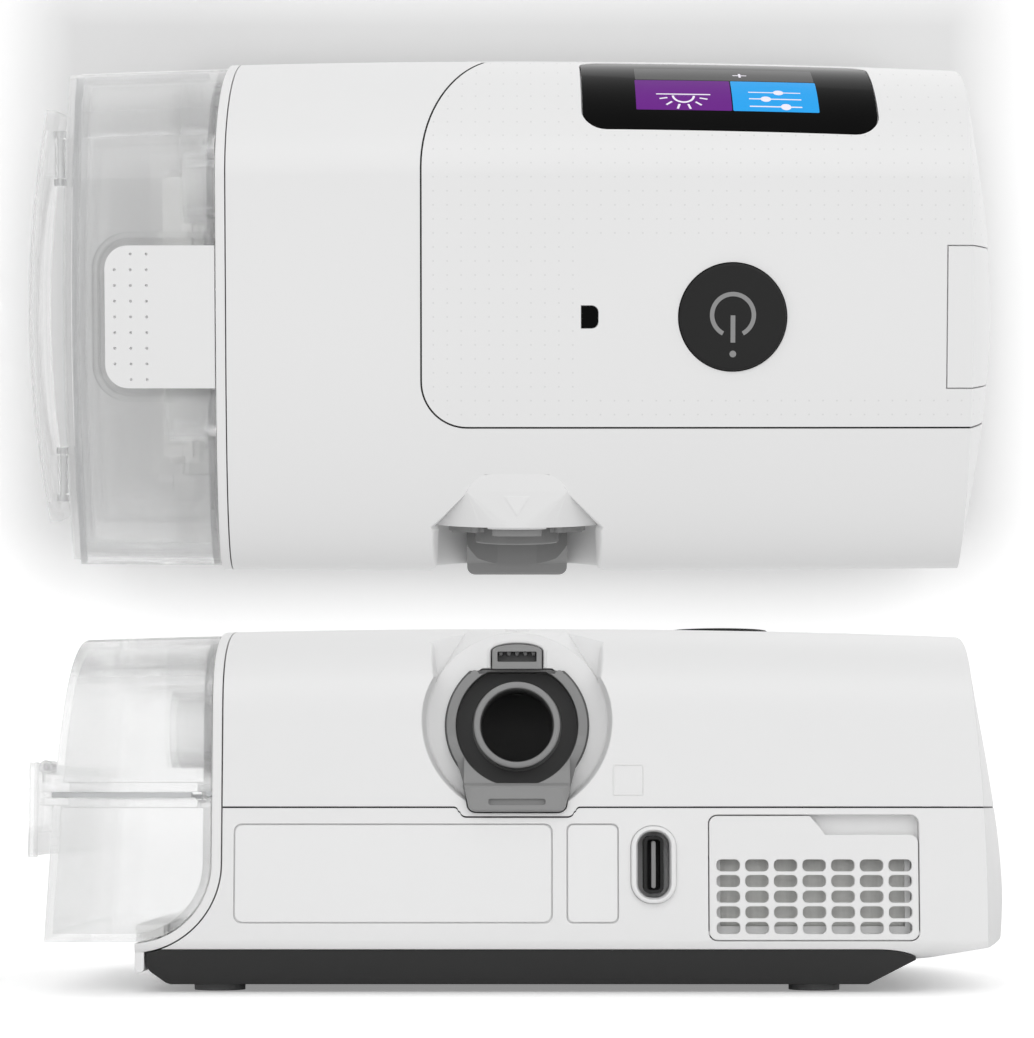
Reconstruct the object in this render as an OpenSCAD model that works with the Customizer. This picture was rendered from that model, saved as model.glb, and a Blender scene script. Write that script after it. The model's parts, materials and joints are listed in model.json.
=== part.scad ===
/* [Case] */
// Reach of the closed end from the middle of the machine
end_reach = 129.7; // [127:0.1:133]
// Reach of the closed end at its front and rear corners
corner_reach = 118.2; // [116:0.1:121]
// Reach of the front face from the middle
front_reach = 69.25; // [67:0.05:72]
// Reach of the rear wall from the middle
rear_reach = 66.4; // [64:0.1:68]
// Height of the top at its crown
top_height = 94; // [92:0.1:97]
// How far the top falls towards each end
crown_drop = 2; // [0.5:0.1:3]
// How far the front bows back towards each end
front_bow = 2.3; // [0.5:0.1:4]
// How far the rear bows in towards each end
rear_bow = 0.5; // [0:0.1:2]
// Length of the front curve, front to back
front_run = 33.25; // [28:0.25:38]
// Drop from the parting line to where the front curve starts
front_drop = 16.5; // [10:0.5:26]
// Height where the rear rounding starts
rear_low = 70; // [60:1:75]
// How square the rear rounding is
rear_power = 3; // [2:0.1:3.5]
// Radius of the lower edges
foot_r = 5; // [4.5:0.1:7]
// Height of the lowest edge of the case
case_low = 8.3; // [7.5:0.1:9]
// Wall of both case halves
case_wall = 2.6; // [2.2:0.1:3]
// Thickness of the top panel, lens and side cover
skin_t = 1.4; // [1.2:0.05:1.6]
// Gap that shows as a seam between fixed pieces
seam = 0.15; // [0.1:0.05:0.25]
// Height of the line between upper and lower case
part_height = 46.5; // [45:0.5:48]
// Depth of the dip in that line under the outlet
part_dip = 2.45; // [2:0.05:3]

/* [Base] */
// Height of the top of the base tray
tray_top = 10.9; // [10.5:0.1:11.2]
// Height of the underside of the base tray
tray_low = 2; // [1.5:0.1:3]
// Thickness of the base tray's floor
tray_floor = 2.4; // [1.6:0.1:3]
// Radius of a rubber foot
foot_pad_r = 6.5; // [5:0.5:8]
// Distance of the feet from the middle, along the length
foot_x = 76; // [60:1:80]
// Distance of the feet from the middle, front to back
foot_y = 48; // [40:1:52]

/* [Dock] */
// Place of the upright face of the dock
dock_x = 76.7; // [76:0.1:77.4]
// Height of the ledge that the tub rests over
dock_ledge = 12.3; // [12:0.1:12.8]
// Radius between the upright face and the ledge
dock_r = 20; // [17:0.5:22]
// Thickness of the dock rim
rim_t = 2.3; // [2:0.1:2.8]
// Outer end of the ledge
ledge_x = 95.9; // [95:0.1:97]
// Gap between the dock and the tub
dock_gap = 0.4; // [0.3:0.05:0.6]
// Half width of the heater plate, front to back
heater_half = 44; // [36:1:48]

/* [Tub] */
// How far the tub stands inside the line of the case
tub_inset = 1; // [0.8:0.1:1.5]
// Reach of the tub's corners at its foot
tub_reach = 118.7; // [117:0.1:120]
// Bulge of the tub's outer face
tub_bulge = 2.4; // [1.5:0.1:3]
// Wall of the tub and its lid
tub_wall = 2; // [1.6:0.1:2.4]
// Height of the joint between tub base and lid
tub_joint = 50.2; // [49.5:0.1:51]
// Width of the flanges at that joint
flange_w = 3.6; // [3:0.1:4]
// How far the tub slides out of the dock
tub_travel = 60; // [50:1:80]

/* [Latch tab] */
// Outer end of the thumb tab
tab_x = 105.2; // [102:0.2:106]
// Half width of the thumb tab
tab_half = 18.2; // [14:0.2:20]
// Corner radius of the thumb tab
tab_r = 5.9; // [4:0.1:7]
// Thickness of the thumb tab
tab_t = 1.8; // [1.4:0.1:2.2]
// Groove round the thumb tab
tab_groove = 1.9; // [1.5:0.1:2.5]

/* [Clip] */
// Radius of the clip's curve, seen from above
clip_r = 283; // [250:1:320]
// Half length of the clip
clip_half = 54.5; // [48:0.5:56]
// Thickness of the clip
clip_t = 2.2; // [1.8:0.1:2.6]
// Height of the clip's lower edge
clip_low = 33.7; // [30:0.1:38]
// Height of the clip's upper edge
clip_high = 57.8; // [57:0.1:59]

/* [Top panel] */
// Side edge of the panel
panel_x = 24.2; // [20:0.2:30]
// Rear edge of the panel
panel_y = 28; // [24:0.5:32]
// Rear corner radius of the panel
panel_r = 11.5; // [8:0.5:14]
// Where the panel's side edge starts to curve to the front
panel_bend = 38; // [30:1:44]
// How far that curve runs in
panel_sweep = 28.2; // [20:0.2:30]

/* [Screen] */
// Middle of the screen along the length
screen_x = -54.6; // [-60:0.1:-50]
// Width of the screen lens
screen_w = 75.6; // [70:0.2:80]
// Place of the screen's upper edge round the front curve, in degrees
screen_from = 111.4; // [104:0.1:116]
// Place of the screen's lower edge round the front curve, in degrees
screen_to = 161.9; // [155:0.1:166]
// Corner radius of the screen lens
screen_r = 6; // [4:0.5:8]

/* [Start button] */
// Place of the button along the length
button_x = -54.9; // [-58:0.1:-52]
// Radius of the button
button_r = 13.65; // [12:0.05:15]
// How far the button's crown stands above the top
button_rise = 0.5; // [0.3:0.05:1]
// Travel of the button
button_travel = 0.8; // [0.5:0.1:1]

/* [Side cover] */
// Inner edge of the side cover on the top
cover_x = 109.9; // [108:0.1:111]
// Half width of the side cover
cover_half = 18; // [16:0.5:20]
// Height of the side cover's lower edge
cover_low = 51.5; // [50:0.5:54]

/* [Outlet] */
// Height of the middle of the outlet above the parting line
outlet_rise = 20.7; // [19.5:0.1:21.5]
// Outside radius of the outlet cone
cone_r = 11; // [10.9:0.05:11.2]
// Bevel on the mouth of the outlet cone
cone_bevel = 0.5; // [0.3:0.05:0.8]
// Bore radius of the outlet cone
cone_bore = 9.4; // [8:0.05:9.5]
// Place of the mouth of the cone, front to back
cone_y = 59.3; // [58:0.1:62]
// Radius of the dish round the outlet at the rear wall
dish_r = 23.6; // [22:0.1:24]
// Radius of the dish at its floor
dish_floor_r = 21.9; // [20:0.1:23]
// Height of the middle of the dish above the middle of the outlet
dish_rise = 1; // [0.8:0.1:2.3]
// Place of the floor of the dish, front to back
dish_y = 54; // [52:0.1:55]
// Radius of the visor over the dish
visor_r = 23.7; // [23:0.1:24.5]
// Half width of the visor at its rim
visor_half = 21; // [18:0.1:22]
// Place of the visor's front edge, front to back
visor_y = 40.1; // [38:0.1:44]
// Radius of the dark well round the cone
well_r = 15.6; // [15:0.1:16]
// Place of the floor of the well, front to back
well_y = 42; // [40:0.5:45]
// Width of the release tongue at its top
tongue_w = 26.8; // [24:0.2:28]
// Reach of the release tongue
tongue_reach = 69.25; // [68:0.05:71]

/* [Power inlet] */
// Place of the inlet along the length
inlet_x = -34.3; // [-36:0.1:-33]
// Width of the inlet bezel
bezel_w = 11.3; // [10:0.1:12]
// Height of the inlet bezel
bezel_h = 19.3; // [18:0.1:21]
// Depth of the middle of the inlet below the line between the case halves
inlet_drop = 14.5; // [13:0.5:17]

/* [Filter door] */
// Edge of the door next to the inlet
door_x = -48.3; // [-50:0.1:-47]
// Width of the door
door_w = 52.5; // [48:0.5:54]
// Height of the door's lower edge
door_low = 13.2; // [12.5:0.1:14]
// Gap between the door and the line between the case halves
door_drop = 2.3; // [2:0.1:4]
// Thickness of the door
door_t = 2; // [1.6:0.1:2.4]
// Width of a slot in the door
slot_w = 5.9; // [5:0.1:6.2]
// Height of a slot in the door
slot_h = 3; // [2.4:0.1:3.2]
// Distance between slots along the length
slot_pitch_x = 7.2; // [6.8:0.1:7.4]
// Distance between rows of slots
slot_pitch_z = 3.9; // [3.6:0.1:4]

/* [Blower] */
// Place of the blower along the length
blower_x = 36; // [34:1:40]
// Place of the blower front to back
blower_y = -20; // [-24:1:-18]
// Radius of the blower housing
blower_r = 29; // [26:0.5:31]
// Wall of the blower housing
blower_wall = 1.8; // [1.5:0.1:2.2]
// Radius of the impeller
impeller_r = 24; // [20:0.5:25]
// Radius of the motor shaft
shaft_r = 2; // [1.5:0.1:2.5]

/* [Hidden] */
front_low = part_height - front_drop;
outlet_z = part_height + outlet_rise;
dish_z = outlet_z + dish_rise;
$fn = 48;

white = [0.93, 0.93, 0.93];
clear = [0.86, 0.89, 0.91, 0.4];
charcoal = [0.22, 0.22, 0.21];
black = [0.08, 0.08, 0.09];
grey = [0.54, 0.54, 0.54];
steel = [0.72, 0.73, 0.75];
copper = [0.8, 0.55, 0.3];
board_green = [0.1, 0.35, 0.2];
foam_grey = [0.6, 0.62, 0.64];
silicone = [0.75, 0.77, 0.78];

bow_ref = 113;              // where the drops and bows above are measured
side_half = 66;             // half depth over which the closed end bulges
far = 200;                  // clear of the whole machine
sky = top_height + 26;      // clear of its top
case_stations = [-131, -98, -60, -20, 20, 60, 98];
tub_stations = [70, 85, 100, 115, 135];
floor_top = tray_top + 2.7; // top of the lower case's floor
run_gap = 0.3;              // gap between pieces on different bodies
pin_fit = 0.06;             // radial clearance of a pin in its knuckle
slope_z = 72;               // height over which the corners lean in

// Points on an elliptical arc
function arc(c, r, a, n) = [for (k = [0:n])
    let(t = a[0] + (a[1] - a[0]) * k / n) [c[0] + r[0] * cos(t), c[1] + r[1] * sin(t)]];

// Points on a squarer quarter arc, from straight up to straight out
function blunt(c, r, p, n) = [for (k = [0:n])
    let(t = 90 - 90 * k / n) [c[0] + r[0] * pow(cos(t), 2 / p), c[1] + r[1] * pow(sin(t), 2 / p)]];

// A rectangle with round corners about a centre
function rounded(c, w, h, r, n = 5) = let(x = w / 2 - r, y = h / 2 - r) concat(
    arc([c[0] + x, c[1] + y], [r, r], [0, 90], n),
    arc([c[0] - x, c[1] + y], [r, r], [90, 180], n),
    arc([c[0] - x, c[1] - y], [r, r], [180, 270], n),
    arc([c[0] + x, c[1] - y], [r, r], [270, 360], n));

// Front-to-back outline of the machine, moved inwards by i
function outline(i) = concat(
    arc([front_run - front_reach, front_low],
        [front_run - i, top_height - front_low - i], [180, 90], 14),
    blunt([0, rear_low], [rear_reach - i, top_height - rear_low - i], rear_power, 12),
    arc([rear_reach - foot_r, case_low + foot_r], [foot_r - i, foot_r - i], [0, -90], 3),
    arc([foot_r - front_reach, case_low + foot_r], [foot_r - i, foot_r - i], [-90, -180], 3));

// Share of full size that is left at a place along the length
function shrink(x, drop, full) = 1 - drop / full * pow(x / bow_ref, 2);
function crown(x) = part_height
    + (top_height - part_height) * shrink(x, crown_drop, top_height - part_height);
function ring_y(x, y) = y * (y < 0 ? shrink(x, front_bow, front_reach)
                                   : shrink(x, rear_bow, rear_reach));
function ring_z(x, z) = z <= part_height ? z
    : part_height + (z - part_height) * shrink(x, crown_drop, top_height - part_height);
function ring(x, i) = [for (p = outline(i)) [x, ring_y(x, p[0]), ring_z(x, p[1])]];

// The closed end leans in towards the top and bulges in the middle
function corner_at(z) = corner_reach - 5.2 * pow((z - 20) / slope_z, 2);
function middle_at(z) = end_reach - 13.2 * pow(abs(z - 24) / 68, 1.6);
function end_at(y, z) = corner_at(z)
    + (middle_at(z) - corner_at(z)) * (1 - pow(y / side_half, 2));

// The tub's outer face leans in more above its flange
function tub_at(y, z) = tub_reach - 0.055 * (z - 12)
    - 3.3 * pow(max(z - 46, 0) / 46, 2) + tub_bulge * (1 - pow(y / side_half, 2));

// Solid through rings of points, each seen clockwise from the far end
module loft(rings) {
    n = len(rings[0]);
    m = len(rings);
    polyhedron(
        points = [for (r = rings) each r],
        faces = concat(
            [[for (k = [n - 1:-1:0]) k]],
            [[for (k = [0:n - 1]) (m - 1) * n + k]],
            [for (r = [0:m - 2]) for (k = [0:n - 1]) let(j = (k + 1) % n)
                [r * n + k, r * n + j, (r + 1) * n + j]],
            [for (r = [0:m - 2]) for (k = [0:n - 1]) let(j = (k + 1) % n)
                [r * n + k, (r + 1) * n + j, (r + 1) * n + k]]));
}

// Flat shapes in X and Z drawn out front to back, and in Y and Z along the length
module along_y(y0, y1) translate([0, y1, 0]) rotate([90, 0, 0]) linear_extrude(y1 - y0) children();
module along_x(x0, x1) translate([x0, 0, 0]) rotate([90, 0, 90]) linear_extrude(x1 - x0) children();
module rod_x(r, x0, x1, y, z) translate([x0, y, z]) rotate([0, 90, 0]) cylinder(r = r, h = x1 - x0);
module rod_y(r, y0, y1, x, z) translate([x, y1, z]) rotate([90, 0, 0]) cylinder(r = r, h = y1 - y0);
module rod_z(r, z0, z1, x, y) translate([x, y, z0]) cylinder(r = r, h = z1 - z0);
module block(a, b) translate(a) cube(b - a);

// Whole case form, moved inwards by i
module case_body(i) intersection() {
    loft([for (x = case_stations) ring(x, i)]);
    loft([for (z = [0, 13, 24, 36, 47, 58, 70, 82, top_height + 3]) concat(
        [for (y = [-80:16:80]) [i - end_at(y, z), y, z]], [[far, 80, z], [far, -80, z]])]);
}

// Room of the tub seen from behind, moved outwards by o
module dock_outline(o) polygon(concat([[dock_x - o, sky]],
    arc([dock_x + dock_r, dock_ledge + dock_r], [dock_r + o, dock_r + o], [180, 270], 10),
    [[far, dock_ledge - o], [far, sky]]));
module dock_room(o) along_y(-90, 90) dock_outline(o);

// Whole tub form with its own insets for skin, outer face and dock side
module tub_body(s, e, d) intersection() {
    loft([for (x = tub_stations) ring(x, tub_inset + s)]);
    loft([for (z = [0, 24, 46, 62, 78, top_height + 3]) concat([[50, -80, z], [50, 80, z]],
        [for (y = [80:-16:-80]) [tub_at(y, z) - e, y, z]])]);
    dock_room(-dock_gap - d);
}

// Everything above the line between the case halves, lifted by g
module above_parting(g) {
    block([-far, -100, part_height + g], [far, 100, sky]);
    along_y(40, 90) polygon([[-14.65, part_height + g + 1], [-14.65, part_height + g],
        [-12.45, part_height - part_dip + g], [12.45, part_height - part_dip + g],
        [14.65, part_height + g], [14.65, part_height + g + 1]]);
}

// Panel outline seen from above, grown by g
module panel_outline(g) polygon(concat(
    [[-far, panel_y + g]],
    arc([panel_x - panel_r, panel_y - panel_r], [panel_r + g, panel_r + g], [90, 0], 6),
    arc([panel_x - panel_sweep, -panel_bend],
        [panel_sweep + g, front_reach + 2 - panel_bend + g], [0, -90], 10),
    [[-far, -front_reach - 2 - g]]));
module panel_room(g) translate([0, 0, part_height - g]) linear_extrude(80) panel_outline(g);

// Local axes of the screen: X along the length, Y up its slope, Z out of it
function front_point(t) = [front_run - front_reach + front_run * cos(t),
    front_low + (top_height - front_low) * sin(t)];
screen_a = front_point(screen_from);
screen_b = front_point(screen_to);
screen_mid = (screen_a + screen_b) / 2;
screen_h = norm(screen_a - screen_b);
screen_lean = atan2(screen_a[0] - screen_b[0], screen_a[1] - screen_b[1]);
module on_screen() translate([screen_x, screen_mid[0], screen_mid[1]])
    rotate([90 - screen_lean, 0, 0]) children();
module screen_room(g) on_screen() translate([0, 0, -12]) linear_extrude(40)
    polygon(rounded([0, 0], screen_w + 2 * g, screen_h + 2 * g, screen_r + g));
module display_window() on_screen() translate([0, 0, -12]) linear_extrude(40)
    polygon(rounded([0, 0], screen_w - 22.6, screen_h - 14, 2, 2));

module cover_room(g) block([-far, -cover_half - g, cover_low - g], [g - cover_x, cover_half + g, sky]);
cover_pin_x = -124.95;
cover_pin_z = cover_low + 0.6;
cover_pin_r = 0.45;

// Thin layer of the case form
module skin_layer() difference() { case_body(0); case_body(skin_t - 0.05); }

sensor_x = -16.4;
sensor_l = 4.2;
sensor_half = 2.8;
module sensor_room(g) translate([0, 0, board_z]) linear_extrude(30) polygon(concat(
    [[sensor_x + g, sensor_half + g]],
    arc([sensor_x - sensor_l + 1.6, sensor_half - 1.6], [1.6 + g, 1.6 + g], [90, 180], 3),
    arc([sensor_x - sensor_l + 1.6, 1.6 - sensor_half], [1.6 + g, 1.6 + g], [180, 270], 3),
    [[sensor_x + g, -sensor_half - g]]));

// Visor over the outlet: round at its rim, narrower and flush at its front edge
visor_front = crown(0) - top_height + rear_low
    + (top_height - rear_low) * pow(1 - pow(visor_y / rear_reach, rear_power), 1 / rear_power);
module visor() hull() {
    intersection() {
        rod_y(visor_r, dish_y - 2, dish_y, 0, outlet_z);
        block([-visor_half, 0, outlet_z + 10.8], [visor_half, 90, sky]);
    }
    translate([0, 0, outlet_z + 10.8]) linear_extrude(visor_front - outlet_z - 10.8) polygon(concat(
        arc([6.2, visor_y + 7], [7, 7], [-30, -90], 5), arc([-6.2, visor_y + 7], [7, 7], [-90, -150], 5)));
}
// Flare beside the visor, seen from behind at one place front to back
function flare(y, x, z, k) = [[x, y, z], [-x, y, z], [-x - (100 - z) * k, y, 100], [x + (100 - z) * k, y, 100]];
visor_low = outlet_z + sqrt(visor_r * visor_r - visor_half * visor_half);
// Dish behind the outlet with its flares
module dish() {
    translate([0, dish_y, dish_z]) rotate([-90, 0, 0])
        cylinder(r1 = dish_floor_r, r2 = dish_r + 0.3, h = rear_reach - dish_y + 2);
    difference() {
        loft([flare(68, visor_half + 0.4, visor_low - 1, 0.5), flare(dish_y, visor_half, visor_low - 1, 0.3),
            flare(visor_y, 8, visor_front, 0.2)]);
        visor();
    }
    difference() {
        rod_y(visor_r + 1.5, dish_y, 70, 0, outlet_z);
        block([-40, 0, 0], [40, 90, visor_low - 1]);
    }
}
// Room for the tongue, the well and the tube socket
module outlet_rooms(g) {
    along_y(dish_y - 6, 90) polygon(tongue_outline(g));
    rod_y(well_r + 1.2 + g, dish_y - 20, dish_y + 1, 0, outlet_z);
    along_y(dish_y - 20, dish_y + 1) polygon(socket_outline(g));
}
tongue_low = part_height - 1.3;
tongue_high = tongue_low + 7.3;
tongue_side = tongue_low + 6.5;
function tongue_outline(g) = [[-tongue_w / 2 - g, tongue_high], [-tongue_w / 2 - g, tongue_side],
    [-tongue_w / 2 + 1.9 - g, tongue_low + 1.1], [-tongue_w / 2 + 3.3, tongue_low - g],
    [tongue_w / 2 - 3.3, tongue_low - g], [tongue_w / 2 - 1.9 + g, tongue_low + 1.1],
    [tongue_w / 2 + g, tongue_side], [tongue_w / 2 + g, tongue_high]];
socket_w = 12.7;
socket_low = outlet_z + 14.4;
function socket_outline(g) = concat([[-socket_w / 2 - g, socket_low - g]],
    arc([0, socket_low + 4.6], [socket_w / 2 + g, 1.7 + g], [180, 0], 8),
    [[socket_w / 2 + g, socket_low - g]]);

boss_front = 11.2 - front_reach;
boss_rear = rear_reach - 10;
boss_at = [[-107, boss_front + 8], [-107, boss_rear + 0.6], [-8, boss_front], [64, boss_front + 1],
    [44, boss_rear]];
boss_r = 3.6;
screw_r = 1.5;
card_z = top_height - 16.8;

module upper_case() color(white) intersection() {
    above_parting(0);
    difference() {
        union() {
            case_body(0);
            visor();
        }
        difference() {
            case_body(case_wall);
            rod_y(dish_r + case_wall, dish_y - case_wall, 90, 0, dish_z);
            block([-visor_half - 8, 37, 76], [visor_half + 8, 70, sky]);
            for (p = boss_at) rod_z(boss_r, part_height - 1, sky, p[0], p[1]);
        }
        dish();
        outlet_rooms(run_gap);
        difference() { panel_room(seam); case_body(skin_t); }
        difference() { cover_room(seam); case_body(skin_t); }
        rod_y(1.9, -cover_half - seam, cover_half + seam, cover_pin_x, cover_pin_z);
        rod_y(cover_pin_r + pin_fit, -cover_half - 1.3, cover_half + 1.3, cover_pin_x, cover_pin_z);
        display_window();
        sensor_room(-0.6);
        rod_z(button_r + 0.3, 80, sky, button_x, 0);
        block([-130, -12.6, card_z - 1.7], [-100, 12.6, card_z + 1.7]);
        for (p = boss_at) rod_z(screw_r + 0.02, part_height - 2, part_height + 6.5, p[0], p[1]);
        dock_room(rim_t + seam);
    }
}

// What the base tray, the ledge and the sloping end take from the underside of the case
function tray_edge() = concat([[far, tray_top]], arc([-90, 8.4], [10.4, tray_top - 8.4], [90, 180], 5));
module lower_case() color(white) difference() {
    case_body(0);
    above_parting(-seam);
    difference() {
        intersection() {
            case_body(case_wall);
            block([-124, -80, floor_top], [dock_x - rim_t - 2.2, 80, 60]);
        }
        for (p = boss_at) rod_z(boss_r, 5, 60, p[0], p[1]);
    }
    along_y(-90, 90) polygon(concat(tray_edge(),
        [[-104, 8.8], [-128, 13], [-140, 15], [-140, -5], [far, -5]]));
    dock_room(rim_t + seam);
    for (p = boss_at) {
        rod_z(screw_r + 0.02, 5, 60, p[0], p[1]);
        rod_z(3.1, 5, tray_top + 1.4, p[0], p[1]);
    }
    block([door_x - door_w - run_gap, rear_reach - case_wall - 2, door_low - run_gap],
        [door_x + run_gap, 90, door_low + door_h + run_gap]);
    outlet_rooms(run_gap);
    dish();
    for (s = [0, 1]) rod_x(0.65 + pin_fit, door_x - door_w - 1.2 + s * (door_w - 1.5),
        door_x - door_w - 1.2 + s * (door_w - 1.5) + 3.9, door_pin_y, door_pin_z);
    along_y(rear_reach - 1, 90) polygon(rounded(label_c, label_w + 2 * seam, label_h + 2 * seam, 2, 3));
    along_y(rear_reach - 1, 90) polygon(rounded(tag_c, tag_w + 2 * seam, label_h + 2 * seam, 1.6, 3));
    along_y(50, 90) polygon(rounded([inlet_x, inlet_z], bezel_w - 1.6, bezel_h - 1.6, 4.6));
    along_y(rear_reach - 1.2, 90) polygon(rounded([inlet_x, inlet_z], bezel_w + 0.2, bezel_h + 0.2, 5.4));
    block([heater_x0 - run_gap, -heater_half - run_gap, 5], [95, heater_half + run_gap, 40]);
}

door_h = part_height - door_drop - door_low;
door_pin_y = rear_reach - 1.5;
door_pin_z = door_low + 1.6;
inlet_z = part_height - inlet_drop;
label_low = 17.7;
label_h = part_height - 4.6 - label_low;
label_c = [31.1, label_low + label_h / 2];
label_w = 79.4;
tag_c = [-19, label_low + label_h / 2];
tag_w = 12.4;

module base_tray() color(charcoal) difference() {
    intersection() {
        along_y(-90, 90) polygon(concat(
            [[92.2, tray_top - seam], [93.3, 9.4], [93.3, 7.4], [92.4, 5.4], [87.5, tray_low],
             [-88.4, tray_low]],
            arc([-90, 8.4 - seam], [10.2, tray_top - 8.4], [180, 90], 5)));
        along_x(-110, 110) polygon([[3.2 - front_reach, tray_top], [6.5 - front_reach, tray_low],
            [rear_reach - 4.6, tray_low], [rear_reach - 1.2, tray_top]]);
    }
    dock_room(rim_t + seam);
    block([-84, -56, tray_low + tray_floor], [76, 54, 20]);
    for (x = [-foot_x, foot_x]) for (y = [-foot_y, foot_y])
        rod_z(foot_pad_r + 0.1, -1, tray_low + 1, x, y);
    for (p = boss_at) rod_z(3.2, -1, 20, p[0], p[1]);
    for (y = spring_y) rod_z(3.2, 6, 20, spring_x, y);
}

module rubber_feet() color(black)
    for (x = [-foot_x, foot_x]) for (y = [-foot_y, foot_y])
        rod_z(foot_pad_r, 0, tray_low + 1, x, y);

module case_screws() color(steel) for (p = boss_at) {
    rod_z(2.8, tray_top - 0.5, tray_top + 1.4, p[0], p[1]);
    rod_z(screw_r, tray_top + 1.3, part_height + 6, p[0], p[1]);
}

module top_panel() color(white) difference() {
    intersection() { skin_layer(); panel_room(0); }
    block([-far, -100, 0], [far, 100, part_height + seam]);
    screen_room(seam);
    sensor_room(seam);
    cover_room(seam);
    rod_z(button_r + 0.3, 80, sky, button_x, 0);
    rod_y(1.9, -cover_half - seam, cover_half + seam, cover_pin_x, cover_pin_z);
    rod_y(cover_pin_r + pin_fit, -cover_half - 1.3, cover_half + 1.3, cover_pin_x, cover_pin_z);
}

module screen_lens() color(black) intersection() { skin_layer(); screen_room(0); }

module display_module() color([0.15, 0.15, 0.3]) on_screen()
    translate([8.3 - screen_w / 2, 4.5 - screen_h / 2, -6.9]) cube([screen_w - 16.6, screen_h - 9, 4]);

module light_sensor_window() color(black) intersection() {
    sensor_room(0);
    block([-30, -10, top_height - skin_t + 0.05], [0, 10, top_height - 0.1]);
}

button_top = top_height + button_rise;
flange_top = crown(abs(button_x) + button_r + 1.5) - case_wall - 0.4;
module start_button() color(charcoal) translate([button_x, 0, 0]) rotate_extrude($fn = 96)
    polygon(concat([[0, flange_top - 4.6], [2.6, flange_top - 4.6], [2.6, flange_top - 1.3],
        [button_r + 1.5, flange_top - 1.3], [button_r + 1.5, flange_top], [button_r, flange_top],
        [button_r, button_top - 0.8]],
        arc([button_r - 0.6, button_top - 0.8], [0.6, 0.5], [30, 90], 3), [[0, button_top]]));

board_z = top_height - 15;
board_t = 1.6;
module button_spring() color(silicone) translate([button_x, 0, 0]) rotate_extrude() polygon([
    [8, board_z + board_t], [11, board_z + board_t], [9, flange_top - 1.35], [7.6, flange_top - 1.35]]);

module button_switch() color(black) {
    block([button_x - 3, -3, board_z + board_t], [button_x + 3, 3, board_z + board_t + 3.2]);
    rod_z(1.4, board_z + board_t + 3, flange_top - 4.6 - button_travel - 0.1, button_x, 0);
}

module side_cover() color(white) {
    intersection() { skin_layer(); cover_room(0); }
    rod_y(cover_pin_r, -cover_half - 1.1, -cover_half + 1, cover_pin_x, cover_pin_z);
    rod_y(cover_pin_r, cover_half - 1, cover_half + 1.1, cover_pin_x, cover_pin_z);
}

module card_slot() color(steel) difference() {
    block([-112, -14.5, card_z - 2.2], [-84, 14.5, board_z - 0.02]);
    block([-130, -12.3, card_z - 1.25], [-86, 12.3, card_z + 1.25]);
}
module memory_card() color(black) block([-116, -12, card_z - 1.05], [-86.1, 12, card_z + 1.05]);

in_y = -34;
in_z = 64;
in_r = 8;
out_y = 22;
out_r = 9;
heater_x0 = 84.5;
heater_x1 = 93.2;
spring_x = 88.8;
spring_y = [-34, 0, 34];
module dock_frame() color(white) difference() {
    union() {
        intersection() {
            case_body(0);
            block([60, -90, 0], [ledge_x, 90, sky]);
            difference() { dock_room(rim_t); dock_room(0); }
        }
        along_y(3.6 - front_reach, rear_reach - 1.6)
            polygon(rounded([ledge_x - 1.15, 8.65], 2.3, 7.3, 1.1, 3));
    }
    block([heater_x0 - run_gap, -heater_half - run_gap, 0], [heater_x1 + run_gap, heater_half + run_gap, 40]);
    rod_x(in_r, 60, 90, in_y, in_z);
    rod_x(out_r, 60, 90, out_y, outlet_z);
    rod_x(in_r + 1.8, dock_x - 1.3, 90, in_y, in_z);
    rod_x(out_r + 1.8, dock_x - 1.3, 90, out_y, outlet_z);
}
module port_ring(r, y, z) difference() {
    rod_x(r + 1.8, dock_x - 1.3, dock_x + dock_gap - 0.1, y, z);
    rod_x(r, 60, 90, y, z);
}
module dock_seals() color(silicone) {
    port_ring(in_r, in_y, in_z);
    port_ring(out_r, out_y, outlet_z);
}

heater_top = dock_ledge + 0.2;
module heater_plate() color(steel)
    block([heater_x0, -heater_half, heater_top - 1.4], [heater_x1, heater_half, heater_top]);
module heater_springs() color(steel) for (y = spring_y) difference() {
    rod_z(2.8, 6, heater_top - 1.4, spring_x, y);
    rod_z(2.1, 5, 20, spring_x, y);
}

hinge_x = dock_x + 2.3;
hinge_z = tub_joint - 0.3;
hinge_r = 1.8;
hinge_pin_r = 0.85;
hinge_room = 2.4;
ear_mid = 49.3;
ear_w = 2.6;
base_flange_low = 46.8;
base_flange_top = tub_joint - 0.6 - 0.8;
plate_x = [87.6, 98.7];
plate_half = 42;
module hinge_knuckle(y0, y1) for (s = [-1, 1])
    rod_y(hinge_r, s > 0 ? y0 : -y1, s > 0 ? y1 : -y0, hinge_x, hinge_z);

module tub_base_form() difference() {
    union() {
        intersection() { tub_body(0, 0, 0); block([0, -90, 0], [far, 90, base_flange_low + 1]); }
        intersection() {
            tub_body(0, -2.3, 0);
            block([0, -90, base_flange_low], [far, 90, base_flange_top]);
        }
    }
    intersection() {
        tub_body(tub_wall, tub_wall, tub_wall);
        block([0, -90, 0], [far, 90, base_flange_low - 0.5]);
    }
    intersection() {
        tub_body(flange_w, flange_w, flange_w);
        block([0, -90, 30], [far, 90, 60]);
    }
    block([plate_x[0] + 1.2, 1.2 - plate_half, 5], [plate_x[1] - 1.2, plate_half - 1.2, 20]);
    rod_y(hinge_room, -80, 80, hinge_x, hinge_z);
}
module hinge_ears() for (s = [-1, 1]) {
    rod_y(hinge_r, s * ear_mid - ear_w / 2, s * ear_mid + ear_w / 2, hinge_x, hinge_z);
    block([hinge_x + 0.2, s * ear_mid - ear_w / 2, hinge_z - 3.4], [hinge_x + hinge_r, s * ear_mid + ear_w / 2, hinge_z]);
}
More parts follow.
